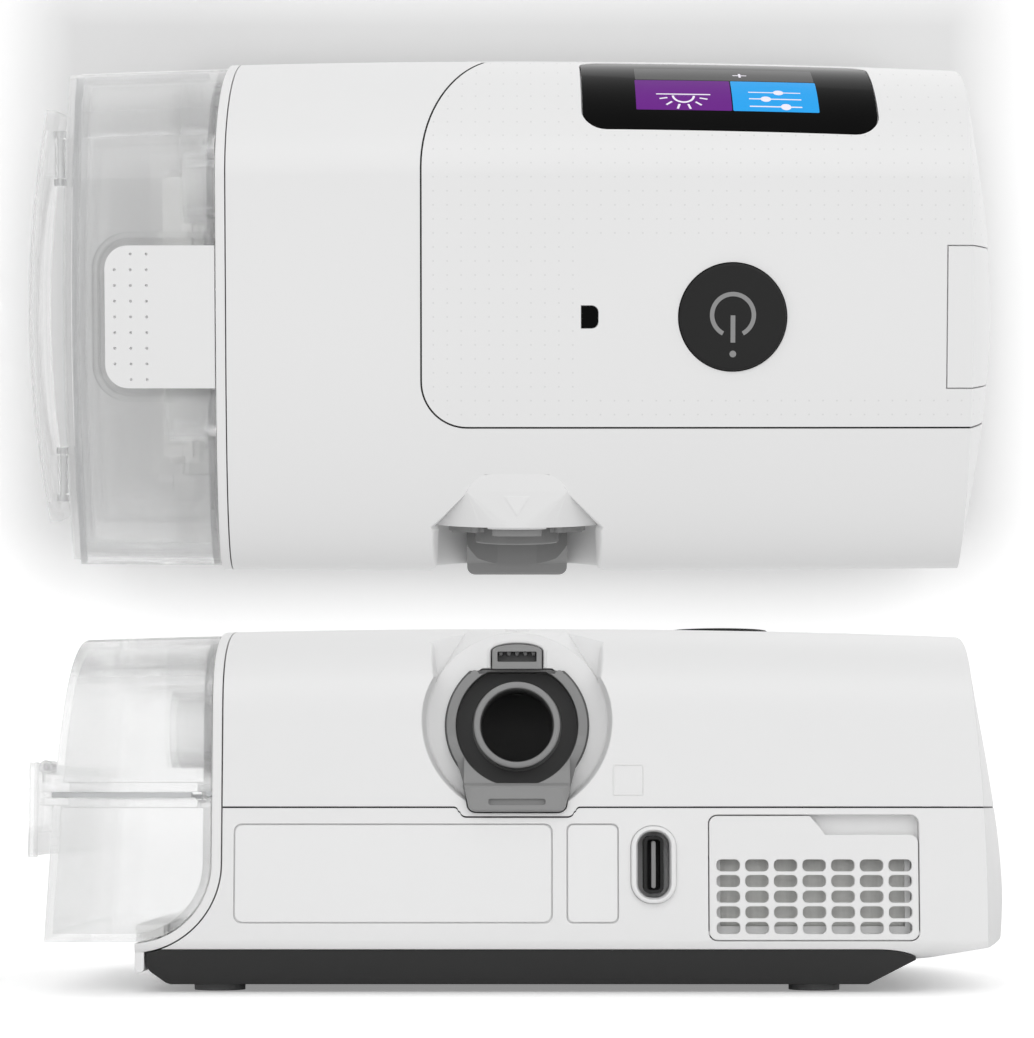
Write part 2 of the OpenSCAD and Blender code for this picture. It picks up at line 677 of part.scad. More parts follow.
module tub_base() color(clear) difference() {
    union() {
        tub_base_form();
        hinge_ears();
    }
    rod_y(hinge_pin_r, -51, 51, hinge_x, hinge_z);
}

plate_seat = dock_ledge + dock_gap + tub_wall;
module tub_heat_plate() color(steel) {
    block([plate_x[0] + 3, 3 - plate_half, plate_seat + 0.02], [plate_x[1], plate_half - 3, plate_seat + 1.4]);
    block([plate_x[0] + 3, 3 - plate_half, heater_top + 0.3], [plate_x[1] - 1.4, plate_half - 3, plate_seat + 0.1]);
}

module tub_seal() color(silicone) difference() {
    intersection() {
        tub_body(0.6, -0.6, 0.6);
        block([0, -90, base_flange_top], [far, 90, tub_joint - 0.1]);
    }
    tub_body(flange_w - 0.4, flange_w - 0.4, flange_w - 0.4);
    block([60, -90, 40], [hinge_x + 3.1, 90, 60]);
}

module lid_hinge_pins() color(steel) for (s = [-1, 1])
    rod_y(hinge_pin_r, s > 0 ? 38 : -50.6, s > 0 ? 50.6 : -38, hinge_x, hinge_z);

tab_under = crown(tab_x) - tub_inset - tab_t;
recess_z = tab_under - 4.6;
module tab_outline(g) polygon(concat([[60, tab_half + g]],
    arc([tab_x - tab_r, tab_half - tab_r], [tab_r + g, tab_r + g], [90, 0], 6),
    arc([tab_x - tab_r, tab_r - tab_half], [tab_r + g, tab_r + g], [0, -90], 6), [[60, -tab_half - g]]));
latch_pin_x = 81;
latch_pin_z = tab_under - 1.5;
clip_pin_x = 121.2;
clip_pin_z = 56.7;
clip_pin_r = 0.85;
clip_lugs = [35.6, 48.2];
module tub_lid() color(clear) difference() {
    union() {
        difference() {
            union() {
                intersection() { tub_body(0, 0, 0); block([0, -90, tub_joint], [far, 90, sky]); }
                intersection() {
                    tub_body(0, -2.5, 0);
                    block([0, -90, tub_joint], [far, 90, tub_joint + 4.6]);
                }
            }
            difference() {
                tub_body(tub_wall, tub_wall, tub_wall);
                block([0, -90, 0], [far, 90, tub_joint + 2.4]);
                translate([0, 0, recess_z - 1.6]) linear_extrude(40) tab_outline(tab_groove + 1.6);
            }
            tub_body_low();
            translate([0, 0, recess_z]) linear_extrude(40) tab_outline(tab_groove);
        }
        block([dock_x + dock_gap + 0.1, -13, recess_z - 1], [85, 13, tab_under - 0.35]);
        for (s = [-1, 1]) for (y = clip_lugs) {
            rod_y(1.7, s * y - 0.9, s * y + 0.9, clip_pin_x, clip_pin_z);
            block([116.6, s * y - 0.9, tub_joint + 2.5], [clip_pin_x + 0.8, s * y + 0.9, clip_pin_z]);
        }
        hinge_knuckle(39.5, 47.5);
        for (s = [-1, 1]) block([hinge_x - 0.6, s * 43.5 - 4, hinge_z], [hinge_x + 1.4, s * 43.5 + 4, tub_joint + 1]);
    }
    for (s = [-1, 1]) rod_y(clip_pin_r, s * 42 - 12, s * 42 + 12, clip_pin_x, clip_pin_z);
    rod_y(hinge_pin_r + pin_fit, -52, 52, hinge_x, hinge_z);
    for (s = [-1, 1]) rod_y(hinge_room, s * ear_mid - ear_w / 2 - 0.2, s * ear_mid + ear_w / 2 + 0.2, hinge_x, hinge_z);
    rod_y(latch_pin_r, -17, 17, latch_pin_x, latch_pin_z);
    rod_x(in_r + 0.5, 60, 90, in_y, in_z);
    rod_x(out_r + 0.5, 60, 90, out_y, outlet_z);
}
module tub_body_low() intersection() {
    tub_body(flange_w, flange_w, flange_w);
    block([0, -90, 30], [far, 90, tub_joint + 2.5]);
}

insert_x = dock_x + dock_gap + tub_wall + 0.1;
module tub_port_insert() color(white) difference() {
    union() {
        block([insert_x, -46, 55], [insert_x + 1.8, 34, 80]);
        rod_x(out_r + 1.6, insert_x, insert_x + 12, out_y, outlet_z);
        rod_x(in_r + 1.6, insert_x, insert_x + 8, in_y, in_z);
    }
    rod_x(in_r, 60, sky, in_y, in_z);
    rod_x(out_r, 60, sky, out_y, outlet_z);
}

latch_pin_r = 0.8;
ear_y = 14.2;
module latch_tab() color(white) difference() {
    union() {
        intersection() {
            difference() {
                loft([for (x = tub_stations) ring(x, tub_inset)]);
                loft([for (x = tub_stations) ring(x, tub_inset + tab_t)]);
            }
            translate([0, 0, 60]) linear_extrude(60) tab_outline(0);
            block([dock_x + dock_gap, -30, 60], [110, 30, sky]);
        }
        for (s = [-1, 1]) {
            rod_y(1.7, s * ear_y - 0.9, s * ear_y + 0.9, latch_pin_x, latch_pin_z);
            block([latch_pin_x - 1.6, s * ear_y - 0.9, latch_pin_z], [latch_pin_x + 1.6, s * ear_y + 0.9, tab_under + 0.8]);
        }
    }
    rod_y(latch_pin_r + pin_fit, -20, 20, latch_pin_x, latch_pin_z);
}
module latch_pin() color(steel) rod_y(latch_pin_r, -15.6, 15.6, latch_pin_x, latch_pin_z);
module latch_spring() color(steel) difference() {
    rod_z(2.4, recess_z, crown(96) - tub_inset - tab_t - 0.08, 96, 0);
    rod_z(1.8, 60, sky, 96, 0);
}

clip_centre = end_reach - clip_r;
module tub_clip() color(clear) difference() {
    union() {
        intersection() {
            difference() {
                rod_z(clip_r, clip_low, clip_high, clip_centre, 0);
                rod_z(clip_r - clip_t, 0, 90, clip_centre, 0);
            }
            block([100, -clip_half, 0], [far, clip_half, 90]);
        }
        for (s = [-1, 1]) {
            rod_y(1.7, s * 41.9 - 5.1, s * 41.9 + 5.1, clip_pin_x, clip_pin_z);
            block([clip_pin_x, s * 41.9 - 5.1, clip_high - 2.2], [125.6, s * 41.9 + 5.1, clip_high]);
        }
    }
    for (s = [-1, 1]) rod_y(clip_pin_r + pin_fit, s * 42 - 12, s * 42 + 12, clip_pin_x, clip_pin_z);
}
module clip_pins() color(steel) for (s = [-1, 1])
    rod_y(clip_pin_r, s * 41.9 - 7.2, s * 41.9 + 7.2, clip_pin_x, clip_pin_z);

door_y = rear_reach - 0.5;
slot_cols = 7;
slot_rows = 5;
slot_first = [door_x - 1.8, door_low + 20.1];
notch_x = -74;
notch_d = 4.7;
module filter_door() color(white) difference() {
    union() {
        along_y(door_y - door_t, door_y) polygon(concat(
            arc([door_x - 2, door_low + door_h - 2], [2, 2], [0, 90], 3),
            [[notch_x, door_low + door_h], [notch_x - 3.8, door_low + door_h - notch_d]],
            arc([door_x - door_w + 2, door_low + door_h - notch_d - 2], [2, 2], [90, 180], 3),
            arc([door_x - door_w + 2, door_low + 2], [2, 2], [180, 270], 3),
            arc([door_x - 2, door_low + 2], [2, 2], [270, 360], 3)));
        rod_x(0.65, door_x - door_w - 1, door_x - door_w + 1, door_pin_y, door_pin_z);
        rod_x(0.65, door_x - 1, door_x + 1, door_pin_y, door_pin_z);
    }
    for (c = [0:slot_cols - 1]) for (r = [0:slot_rows - 1])
        along_y(50, 90) polygon(rounded([slot_first[0] - slot_w / 2 - c * slot_pitch_x,
            slot_first[1] - slot_h / 2 - r * slot_pitch_z], slot_w, slot_h, 1, 3));
}

frame_y = rear_reach - 14.4;
door_top = part_height - 3.5;
module filter_frame() color(grey) difference() {
    block([door_x - door_w + 1.5, frame_y, floor_top], [door_x - 1.5, rear_reach - 4.7, door_top]);
    block([door_x - door_w + 3, frame_y + 1.5, 16.5], [door_x - 3, 80, door_top - 1.5]);
    block([door_x - door_w + 6, frame_y - 5, 19], [door_x - 6, 80, door_top - 4]);
}
module air_filter() color(foam_grey)
    block([door_x - door_w + 3.3, frame_y + 1.8, 16.8], [door_x - 3.3, rear_reach - 5, door_top - 1.8]);

module inlet_bezel() color(white) difference() {
    union() {
        along_y(rear_reach - 1.1, rear_reach + 2) polygon(rounded([inlet_x, inlet_z], bezel_w, bezel_h, 5.3));
        along_y(57, rear_reach - 1) polygon(rounded([inlet_x, inlet_z], bezel_w - 1.8, bezel_h - 1.8, 4.5));
    }
    along_y(59, 90) polygon(rounded([inlet_x, inlet_z], 8, 16.5, 3.6));
}
module inlet_socket() color(black) difference() {
    along_y(59, rear_reach + 0.4) polygon(rounded([inlet_x, inlet_z], 5, 14.3, 1.2, 3));
    along_y(61, 90) polygon(rounded([inlet_x, inlet_z], 3.3, 12.6, 0.6, 2));
}
module inlet_contacts() color(grey) along_y(61, rear_reach - 0.6)
    polygon(rounded([inlet_x, inlet_z], 1.1, 11.8, 0.4, 2));

well_cut_high = socket_low - 1.2;
module outlet_well() color(charcoal) difference() {
    intersection() {
        rod_y(well_r + 1.2, well_y, dish_y + 0.05, 0, outlet_z);
        block([-30, 0, tongue_high - 1.2], [30, 90, well_cut_high + 0.6]);
    }
    intersection() {
        rod_y(well_r, well_y + 2, 90, 0, outlet_z);
        block([-30, 0, tongue_high], [30, 90, well_cut_high]);
    }
    rod_y(cone_r + 0.62, 0, 90, 0, outlet_z);
}
frame_r = 18;
module outlet_connector() color(grey) difference() {
    intersection() {
        along_x(-20, 20) polygon([[dish_y + 0.1, tongue_low], [tongue_reach, tongue_low],
            [tongue_reach, tongue_low + 6.4], [66.2, tongue_low + 7.2], [64.6, tongue_low + 10.2],
            [61, tongue_low + 13.4], [57.4, tongue_low + 16.2], [55.9, tongue_low + 19.2],
            [55.9, socket_low + 0.4], [dish_y + 0.1, socket_low + 0.4]]);
        along_y(dish_y, 90) polygon(concat(
            arc([0, outlet_z], [frame_r, frame_r], [50, -32], 14),
            [[tongue_w / 2, tongue_side], [tongue_w / 2 - 1.9, tongue_low + 1.1], [tongue_w / 2 - 3.3, tongue_low],
             [3.3 - tongue_w / 2, tongue_low], [1.9 - tongue_w / 2, tongue_low + 1.1], [-tongue_w / 2, tongue_side]],
            arc([0, outlet_z], [frame_r, frame_r], [212, 130], 14)));
    }
    intersection() {
        rod_y(well_r + 0.1, 0, 90, 0, outlet_z);
        block([-30, 0, tongue_high - 0.1], [30, 90, sky]);
    }
    along_y(tongue_reach - 1, 90) polygon(rounded([0, tongue_low + 2.5], 14.3, 1.5, 0.6, 2));
}
module outlet_cone() color(grey) difference() {
    union() {
        rod_y(cone_r + 0.6, well_y - 1, well_y + 2.05, 0, outlet_z);
        rod_y(cone_r, well_y + 2, cone_y - cone_bevel, 0, outlet_z);
        translate([0, cone_y - cone_bevel, outlet_z]) rotate([-90, 0, 0])
            cylinder(r1 = cone_r, r2 = cone_r - cone_bevel, h = cone_bevel);
    }
    rod_y(cone_bore, 0, 90, 0, outlet_z);
}
module tube_socket() color(grey) difference() {
    along_y(dish_y - 6, dish_y + 2.4) polygon(socket_outline(0));
    along_y(dish_y - 4, 90) polygon(rounded([0, socket_low + 3.1], 10, 2.6, 0.3, 1));
}
module tube_contacts() color(copper) for (k = [-2:2])
    block([k * 2.1 - 0.35, dish_y - 4, socket_low + 3.5], [k * 2.1 + 0.35, dish_y + 1.2, socket_low + 4.2]);

module label_plate() color([0.96, 0.96, 0.96]) along_y(rear_reach - 0.98, rear_reach - 0.3)
    polygon(rounded(label_c, label_w, label_h, 1.9, 3));
module small_label_plate() color([0.96, 0.96, 0.96]) along_y(rear_reach - 0.98, rear_reach - 0.2)
    polygon(rounded(tag_c, tag_w, label_h, 1.5, 3));

board_x = [-110, -8];
board_y = [-34, 26];
module main_board() color(board_green)
    block([board_x[0], board_y[0], board_z], [board_x[1], board_y[1], board_z + board_t]);
module radio_module() color(steel) block([-48, -26, board_z - 2.8], [-24, -2, board_z - 0.02]);
module buzzer() color(black) rod_z(5, board_z - 4, board_z - 0.02, -66, 14);
module power_board() color(board_green) block([-44, 49, floor_top], [-4, 50.6, part_height - 4.5]);

box_x = [-104, -50];
box_y = [-30, 50.4];
box_top = board_z - 11.5;
intake_x1 = 50;
intake_y = [-33, -7];
intake_low = 58;
module silencer_box() color(white) difference() {
    block([box_x[0], box_y[0], floor_top + 0.1], [box_x[1], box_y[1], box_top]);
    block([box_x[0] + 2, box_y[0] + 2, floor_top + 2], [box_x[1] - 2, box_y[1] - 2, box_top - 2]);
    block([door_x - door_w + 8, 30, 19], [box_x[1] - 2, 80, 39]);
    block([box_x[1] - 5, intake_y[0] + 6, intake_low + 1.6], [0, intake_y[1] - 1.6, 65.4]);
}
module silencer_foam() color(foam_grey) {
    block([box_x[0] + 2.3, box_y[0] + 2.3, floor_top + 2.2], [box_x[1] - 2.3, 8, 38]);
    block([box_x[0] + 2.3, 12, 44], [box_x[1] - 2.3, box_y[1] - 2.3, box_top - 2.3]);
}
module intake_duct() color(white) difference() {
    block([box_x[1] + 0.1, intake_y[0], intake_low], [intake_x1, intake_y[1], 67]);
    block([box_x[1] - 1, intake_y[0] + 1.5, intake_low + 1.5], [intake_x1 - 1.5, intake_y[1] - 1.5, 65.5]);
    rod_z(10, 40, 60, blower_x, blower_y);
}

blower_low = 19;
blower_mid = 38;
blower_high = 57.4;
nozzle = [[58, 73], [-47, -26], [40, 55]];
module blower_housing() color(charcoal) difference() {
    rod_z(blower_r, blower_low, blower_mid, blower_x, blower_y);
    rod_z(blower_r - blower_wall, blower_low + 2, 90, blower_x, blower_y);
    rod_z(4, 0, 90, blower_x, blower_y);
}
module blower_cap() color(charcoal) difference() {
    union() {
        rod_z(blower_r, blower_mid + 0.05, blower_high, blower_x, blower_y);
        block([54, -44, 41], [66, -28, 54]);
    }
    rod_z(blower_r - blower_wall, 0, blower_high - 2, blower_x, blower_y);
    block([54, -42.4, 42.6], [90, -29.6, 52.4]);
    rod_z(10, 0, 90, blower_x, blower_y);
}
module blower_mount() color(silicone) difference() {
    rod_z(blower_r + 1.6, floor_top, 25, blower_x, blower_y);
    rod_z(blower_r + 0.05, blower_low - 0.05, 90, blower_x, blower_y);
    rod_z(blower_r - 6, 0, 90, blower_x, blower_y);
}
module motor_stator() color(copper) difference() {
    rod_z(14, blower_low + 2, 36, blower_x, blower_y);
    rod_z(shaft_r + 0.08, 0, 90, blower_x, blower_y);
}
module motor_shaft() color(steel) rod_z(shaft_r, blower_low + 3, 51, blower_x, blower_y);
module impeller() color([0.85, 0.85, 0.88]) difference() {
    union() {
        rod_z(impeller_r, 41, 42.4, blower_x, blower_y);
        rod_z(4, 42.3, 50, blower_x, blower_y);
        for (k = [0:10]) translate([blower_x, blower_y, 42.3]) rotate([0, 0, k * 360 / 11])
            translate([3.4, -0.5, 0]) cube([impeller_r - 4.4, 1, 7.5]);
    }
    rod_z(shaft_r + 0.01, 0, 90, blower_x, blower_y);
}
module blower_duct() color(silicone) difference() {
    union() {
        block([66.1, -45, 40], [dock_x - rim_t - 2.3, -23, part_height + 1]);
        block([66.1, -45, part_height + 0.2], [dock_x - rim_t - 0.05, -23, 75]);
    }
    block([67.6, -43.5, 41.5], [70.8, -24.5, 73.5]);
    block([67.6, -43.5, part_height + 2.4], [72.9, -24.5, 73.5]);
    block([60, -42.4, 42.6], [70, -29.6, 52.4]);
    rod_x(in_r, 70, 90, in_y, in_z);
}
module outlet_duct() color(silicone) difference() {
    union() {
        rod_x(10.6, -10.4, dock_x - rim_t - 0.05, out_y, outlet_z);
        rod_y(10.9, out_y, well_y - 1.1, 0, outlet_z);
    }
    rod_x(out_r, -8.8, 90, out_y, outlet_z);
    rod_y(out_r + 0.25, out_y, 60, 0, outlet_z);
}
module flow_sensor() color(board_green) block([28, out_y - 6, outlet_z + 10.65], [44, out_y + 6, outlet_z + 12.8]);

upper_case();
lower_case();
base_tray();
rubber_feet();
case_screws();
top_panel();
screen_lens();
display_module();
light_sensor_window();
start_button();
button_spring();
button_switch();
side_cover();
card_slot();
memory_card();
dock_frame();
dock_seals();
heater_plate();
heater_springs();
tub_base();
tub_heat_plate();
tub_seal();
lid_hinge_pins();
tub_lid();
tub_port_insert();
latch_tab();
latch_pin();
latch_spring();
tub_clip();
clip_pins();
filter_door();
air_filter();
filter_frame();
inlet_bezel();
inlet_socket();
inlet_contacts();
outlet_well();
outlet_connector();
outlet_cone();
tube_socket();
tube_contacts();
label_plate();
small_label_plate();
main_board();
radio_module();
buzzer();
power_board();
silencer_box();
silencer_foam();
intake_duct();
blower_housing();
blower_cap();
blower_mount();
motor_stator();
motor_shaft();
impeller();
blower_duct();
outlet_duct();
flow_sensor();
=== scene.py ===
"""A bedside bilevel breathing machine with a clear humidifier tub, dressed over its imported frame."""

import json
import math

import bmesh
import bpy
from bpy.props import FloatProperty, FloatVectorProperty, PointerProperty
from bpy.types import Operator, Panel, PropertyGroup
from mathutils import Matrix, Vector

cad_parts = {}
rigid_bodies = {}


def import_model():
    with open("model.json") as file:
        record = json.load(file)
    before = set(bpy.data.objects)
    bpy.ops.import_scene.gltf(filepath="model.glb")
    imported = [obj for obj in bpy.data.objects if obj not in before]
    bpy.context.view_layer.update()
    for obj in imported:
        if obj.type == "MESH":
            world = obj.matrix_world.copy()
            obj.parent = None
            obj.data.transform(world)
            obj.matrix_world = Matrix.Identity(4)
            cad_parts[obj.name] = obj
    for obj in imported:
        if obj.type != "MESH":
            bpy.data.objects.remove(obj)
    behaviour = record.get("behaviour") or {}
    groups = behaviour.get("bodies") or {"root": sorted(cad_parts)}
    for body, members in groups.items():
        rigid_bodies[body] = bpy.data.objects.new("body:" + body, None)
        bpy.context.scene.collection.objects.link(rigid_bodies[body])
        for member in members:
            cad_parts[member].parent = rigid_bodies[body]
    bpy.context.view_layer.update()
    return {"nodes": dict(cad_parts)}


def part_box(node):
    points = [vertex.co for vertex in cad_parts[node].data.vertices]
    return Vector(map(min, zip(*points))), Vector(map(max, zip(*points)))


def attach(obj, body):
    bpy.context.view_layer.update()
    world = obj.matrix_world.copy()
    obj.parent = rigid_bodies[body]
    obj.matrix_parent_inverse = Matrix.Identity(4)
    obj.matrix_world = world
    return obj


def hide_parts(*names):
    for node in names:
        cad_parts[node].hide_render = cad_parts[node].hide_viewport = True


bl_info = {
    "name": "Bilevel machine",
    "version": (1, 0, 0),
    "blender": (4, 5, 0),
    "location": "3D View > Sidebar > Bilevel machine",
    "description": "Builds the shells, tub, outlet, screen and finishes of a bedside bilevel machine",
    "category": "Object",
}

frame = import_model()

MM = 0.001
FAR = 200.0  # clear of the whole machine, in millimetres


def length(name, description, millimetres):
    """A size in the panel, given in millimetres and kept in metres."""
    return FloatProperty(
        name=name, description=description, default=millimetres * MM, unit="LENGTH", precision=5
    )


def colour(name, description, level):
    """A colour in the panel: one level for a neutral grey, or three."""
    default = level if isinstance(level, tuple) else (level, level, level)
    return FloatVectorProperty(
        name=name, description=description, default=default, subtype="COLOR", min=0.0, max=1.0
    )


class CaseSizes(PropertyGroup):
    end_reach: length("End reach", "Reach of the closed end from the middle", 129.7)
    corner_reach: length("Corner reach", "Reach of the closed end at its corners", 118.2)
    front_reach: length("Front reach", "Reach of the front face", 69.25)
    rear_reach: length("Rear reach", "Reach of the rear wall", 66.4)
    top_height: length("Top height", "Height of the top at its crown", 94.0)
    crown_drop: length("Crown drop", "How far the top falls towards each end", 2.0)
    front_bow: length("Front bow", "How far the front bows back towards each end", 2.3)
    rear_bow: length("Rear bow", "How far the rear bows in towards each end", 0.5)
    front_run: length("Front run", "Length of the front curve, front to back", 33.25)
    front_low: length("Front low", "Height where the front curve starts", 30.0)
    rear_low: length("Rear low", "Height where the rear rounding starts", 70.0)
    foot_r: length("Foot radius", "Radius of the lower edges", 5.0)
    case_low: length("Case low", "Height of the lowest edge of the case", 8.3)
    case_wall: length("Case wall", "Wall of both case halves", 2.6)
    skin_t: length("Skin", "Thickness of the top panel, lens and side cover", 1.4)
    seam: length("Seam", "Dark gap that shows between fixed pieces", 0.34)
    part_height: length("Parting height", "Height of the line between the case halves", 46.5)
    part_dip: length("Parting dip", "Depth of the dip in that line under the outlet", 2.45)
    tray_top: length("Tray top", "Height of the top of the base tray", 10.9)
    tray_low: length("Tray low", "Height of the underside of the base tray", 2.0)
    panel_x: length("Panel side", "Side edge of the top panel", 24.2)
    panel_y: length("Panel rear", "Rear edge of the top panel", 28.0)
    panel_r: length("Panel radius", "Rear corner radius of the top panel", 11.5)
    panel_bend: length("Panel bend", "Where the panel's side starts to curve to the front", 38.0)
    panel_sweep: length("Panel sweep", "How far that curve runs in", 28.2)
    cover_x: length("Cover edge", "Inner edge of the side cover on the top", 109.9)
    cover_half: length("Cover half width", "Half width of the side cover", 18.0)
    cover_low: length("Cover low", "Height of the side cover's lower edge", 51.5)


class TubSizes(PropertyGroup):
    dock_x: length("Dock face", "Place of the upright face of the dock", 76.7)
    dock_ledge: length("Dock ledge", "Height of the ledge that the tub rests over", 12.3)
    dock_r: length("Dock radius", "Radius between the upright face and the ledge", 20.0)
    rim_t: length("Rim", "Thickness of the dock rim", 2.3)
    ledge_x: length("Ledge end", "Outer end of the ledge", 95.9)
    dock_gap: length("Dock gap", "Gap between the dock and the tub", 0.4)
    tub_inset: length("Tub inset", "How far the tub stands inside the line of the case", 1.0)
    tub_reach: length("Tub reach", "Reach of the tub's corners at its foot", 118.7)
    tub_bulge: length("Tub bulge", "Bulge of the tub's outer face", 2.4)
    tub_wall: length("Tub wall", "Wall of the tub and its lid", 2.0)
    tub_joint: length("Tub joint", "Height of the joint between tub base and lid", 50.2)
    flange_w: length("Flange", "Width of the flanges at that joint", 3.6)
    tab_x: length("Tab end", "Outer end of the thumb tab", 105.2)
    tab_half: length("Tab half width", "Half width of the thumb tab", 18.2)
    tab_r: length("Tab radius", "Corner radius of the thumb tab", 5.9)
    tab_t: length("Tab thickness", "Thickness of the thumb tab", 1.8)
    tab_groove: length("Tab groove", "Groove round the thumb tab", 1.9)
    clip_r: length("Clip curve", "Radius of the clip's curve, seen from above", 283.0)
    clip_half: length("Clip half length", "Half length of the clip", 54.5)
    clip_t: length("Clip thickness", "Thickness of the clip", 2.2)
    clip_low: length("Clip low", "Height of the clip's lower edge", 33.7)
    clip_high: length("Clip high", "Height of the clip's upper edge", 57.8)


class FrontSizes(PropertyGroup):
    screen_x: length("Screen place", "Middle of the screen along the length", -54.6)
    screen_w: length("Screen width", "Width of the screen lens", 75.6)
    screen_r: length("Screen radius", "Corner radius of the screen lens", 6.0)
    button_x: length("Button place", "Place of the start button along the length", -54.9)
    button_r: length("Button radius", "Radius of the start button", 13.65)
    button_rise: length("Button rise", "How far the button stands above the top", 0.5)
    dot_pitch: length("Dot pitch", "Distance between the dots on the panel", 3.55)
    dot_r: length("Dot radius", "Radius of a dot on the panel", 0.3)


class RearSizes(PropertyGroup):
    outlet_z: length("Outlet height", "Height of the middle of the outlet", 67.2)
    cone_r: length("Cone radius", "Outside radius of the outlet cone", 11.0)
    cone_bore: length("Cone bore", "Bore radius of the outlet cone", 9.4)
    cone_y: length("Cone mouth", "Place of the mouth of the cone", 59.3)
    dish_r: length("Dish radius", "Radius of the dish at the rear wall", 23.6)
    dish_z: length("Dish height", "Height of the middle of the dish", 68.2)
    dish_y: length("Dish floor", "Place of the floor of the dish", 54.0)
    visor_r: length("Visor radius", "Radius of the visor over the dish", 23.7)
    visor_half: length("Visor half width", "Half width of the visor at its rim", 21.0)
    visor_y: length("Visor front", "Place of the visor's front edge", 40.1)
    well_r: length("Well radius", "Radius of the dark well round the cone", 15.6)
    well_y: length("Well floor", "Place of the floor of the well", 42.0)
    frame_r: length("Connector radius", "Outside radius of the connector's arms", 18.0)
    tongue_w: length("Tongue width", "Width of the release tongue at its top", 26.8)
    tongue_reach: length("Tongue reach", "Reach of the release tongue", 69.25)
    inlet_x: length("Inlet place", "Place of the power inlet along the length", -34.3)
    bezel_w: length("Bezel width", "Width of the inlet bezel", 11.3)
    bezel_h: length("Bezel height", "Height of the inlet bezel", 19.3)
    inlet_drop: length("Inlet drop", "Depth of the inlet's middle below the parting line", 14.5)
    door_x: length("Door edge", "Edge of the filter door next to the inlet", -48.3)
    door_w: length("Door width", "Width of the filter door", 52.5)
    door_low: length("Door low", "Height of the door's lower edge", 13.2)
    door_drop: length("Door drop", "Gap between the door and the parting line", 2.3)
    door_t: length("Door thickness", "Thickness of the filter door", 2.0)
    slot_w: length("Slot width", "Width of a slot in the door", 5.9)
    slot_h: length("Slot height", "Height of a slot in the door", 3.0)


class FinishColours(PropertyGroup):
    case: colour("Case", "White of the moulded case", 0.88)
    label: colour("Label", "White of the label plates", 0.9)
    charcoal: colour("Charcoal", "Base tray and well", 0.042)
    button: colour("Button", "Start button", 0.02)
    symbol: colour("Symbol", "Symbol on the start button", 0.27)
    connector: colour("Connector", "Grey of the outlet connector", 0.295)
    lens: colour("Lens", "Screen lens", 0.004)
    tile_left: colour("First tile", "Violet tile on the screen", (0.125, 0.02, 0.205))
    tile_right: colour("Second tile", "Blue tile on the screen", (0.025, 0.31, 0.71))
    menu_bar: colour("Menu bar", "Grey bar on the screen", 0.08)
    clear: colour("Clear plastic", "Tub, lid and clip", (0.99, 0.992, 0.993))
    foam: colour("Foam", "Silencer foam and air filter", 0.62)


SIZE_GROUPS = {
    "bilevel_case": CaseSizes,
    "bilevel_tub": TubSizes,
    "bilevel_front": FrontSizes,
    "bilevel_rear": RearSizes,
}


# ---- Solids in millimetres


def linked(name, data):
    """New object in the scene."""
    item = bpy.data.objects.new(name, data)
    bpy.context.scene.collection.objects.link(item)
    return item


class Solid:
    """A closed mesh that can be added to, cut from and kept where it meets another."""

    def __init__(self, points, faces):
        self.mesh = bpy.data.meshes.new("solid")
        self.mesh.from_pydata([tuple(p) for p in points], [], faces)
        tidy(self.mesh)

    @classmethod
    def of(cls, mesh):
        """Solid from a mesh that is closed already."""
        solid = cls.__new__(cls)
        solid.mesh = mesh
        return solid

    def combined(self, operation, others):
        """Result of one boolean step after another with the other solids."""
        scratch = [linked("scratch", s.mesh) for s in (self, *others)]
        for item in scratch[1:]:
            step = scratch[0].modifiers.new("step", "BOOLEAN")
            step.operation, step.solver, step.object = operation, "MANIFOLD", item
        graph = bpy.context.evaluated_depsgraph_get()
        mesh = bpy.data.meshes.new_from_object(scratch[0].evaluated_get(graph))
        for item in scratch:
            bpy.data.objects.remove(item)
        if not mesh.polygons:
            raise RuntimeError(f"a solid came out empty after {operation}")
        return Solid.of(mesh)

    def __add__(self, other):
        return self.combined("UNION", [other])

    def __sub__(self, other):
        return self.combined("DIFFERENCE", [other])

    def __and__(self, other):
        return self.combined("INTERSECT", [other])

    def minus(self, *others):
        return self.combined("DIFFERENCE", others)

    def plus(self, *others):
        return self.combined("UNION", others)


def tidy(mesh):
    """Joins doubled points and turns every face outwards."""
    work = bmesh.new()
    work.from_mesh(mesh)
    bmesh.ops.remove_doubles(work, verts=work.verts, dist=1e-4)
    bmesh.ops.recalc_face_normals(work, faces=work.faces)
    work.to_mesh(mesh)
    work.free()


def loft(rings):
    """Solid through rings with equal numbers of points."""
    count, last = len(rings[0]), len(rings) - 1
    points = [p for ring in rings for p in ring]
    faces = [list(range(count))[::-1], [last * count + k for k in range(count)]]
    for r in range(last):
        for k in range(count):
            j = (k + 1) % count
            faces.append([r * count + k, r * count + j, (r + 1) * count + j, (r + 1) * count + k])
    return Solid(points, faces)


PLACES = {
    "X": lambda a, b, t: (t, a, b),
    "Y": lambda a, b, t: (a, t, b),
    "Z": lambda a, b, t: (a, b, t),
}


def prism(outline, low, high, axis):
    """Flat outline drawn out along an axis."""
    place = PLACES[axis]
    return loft([[place(a, b, t) for a, b in outline] for t in (low, high)])


def cone(axis, r_low, r_high, low, high, a, b, sides=96):
    """Round bar along an axis through (a, b), with a radius at each end."""
    place = PLACES[axis]
    turns = [2 * math.pi * k / sides for k in range(sides)]
    return loft(
        [
            [place(a + r * math.cos(t), b + r * math.sin(t), at) for t in turns]
            for r, at in ((r_low, low), (r_high, high))
        ]
    )


def rod(axis, r, low, high, a, b, sides=96):
    """Round bar along an axis through (a, b)."""
    return cone(axis, r, r, low, high, a, b, sides)


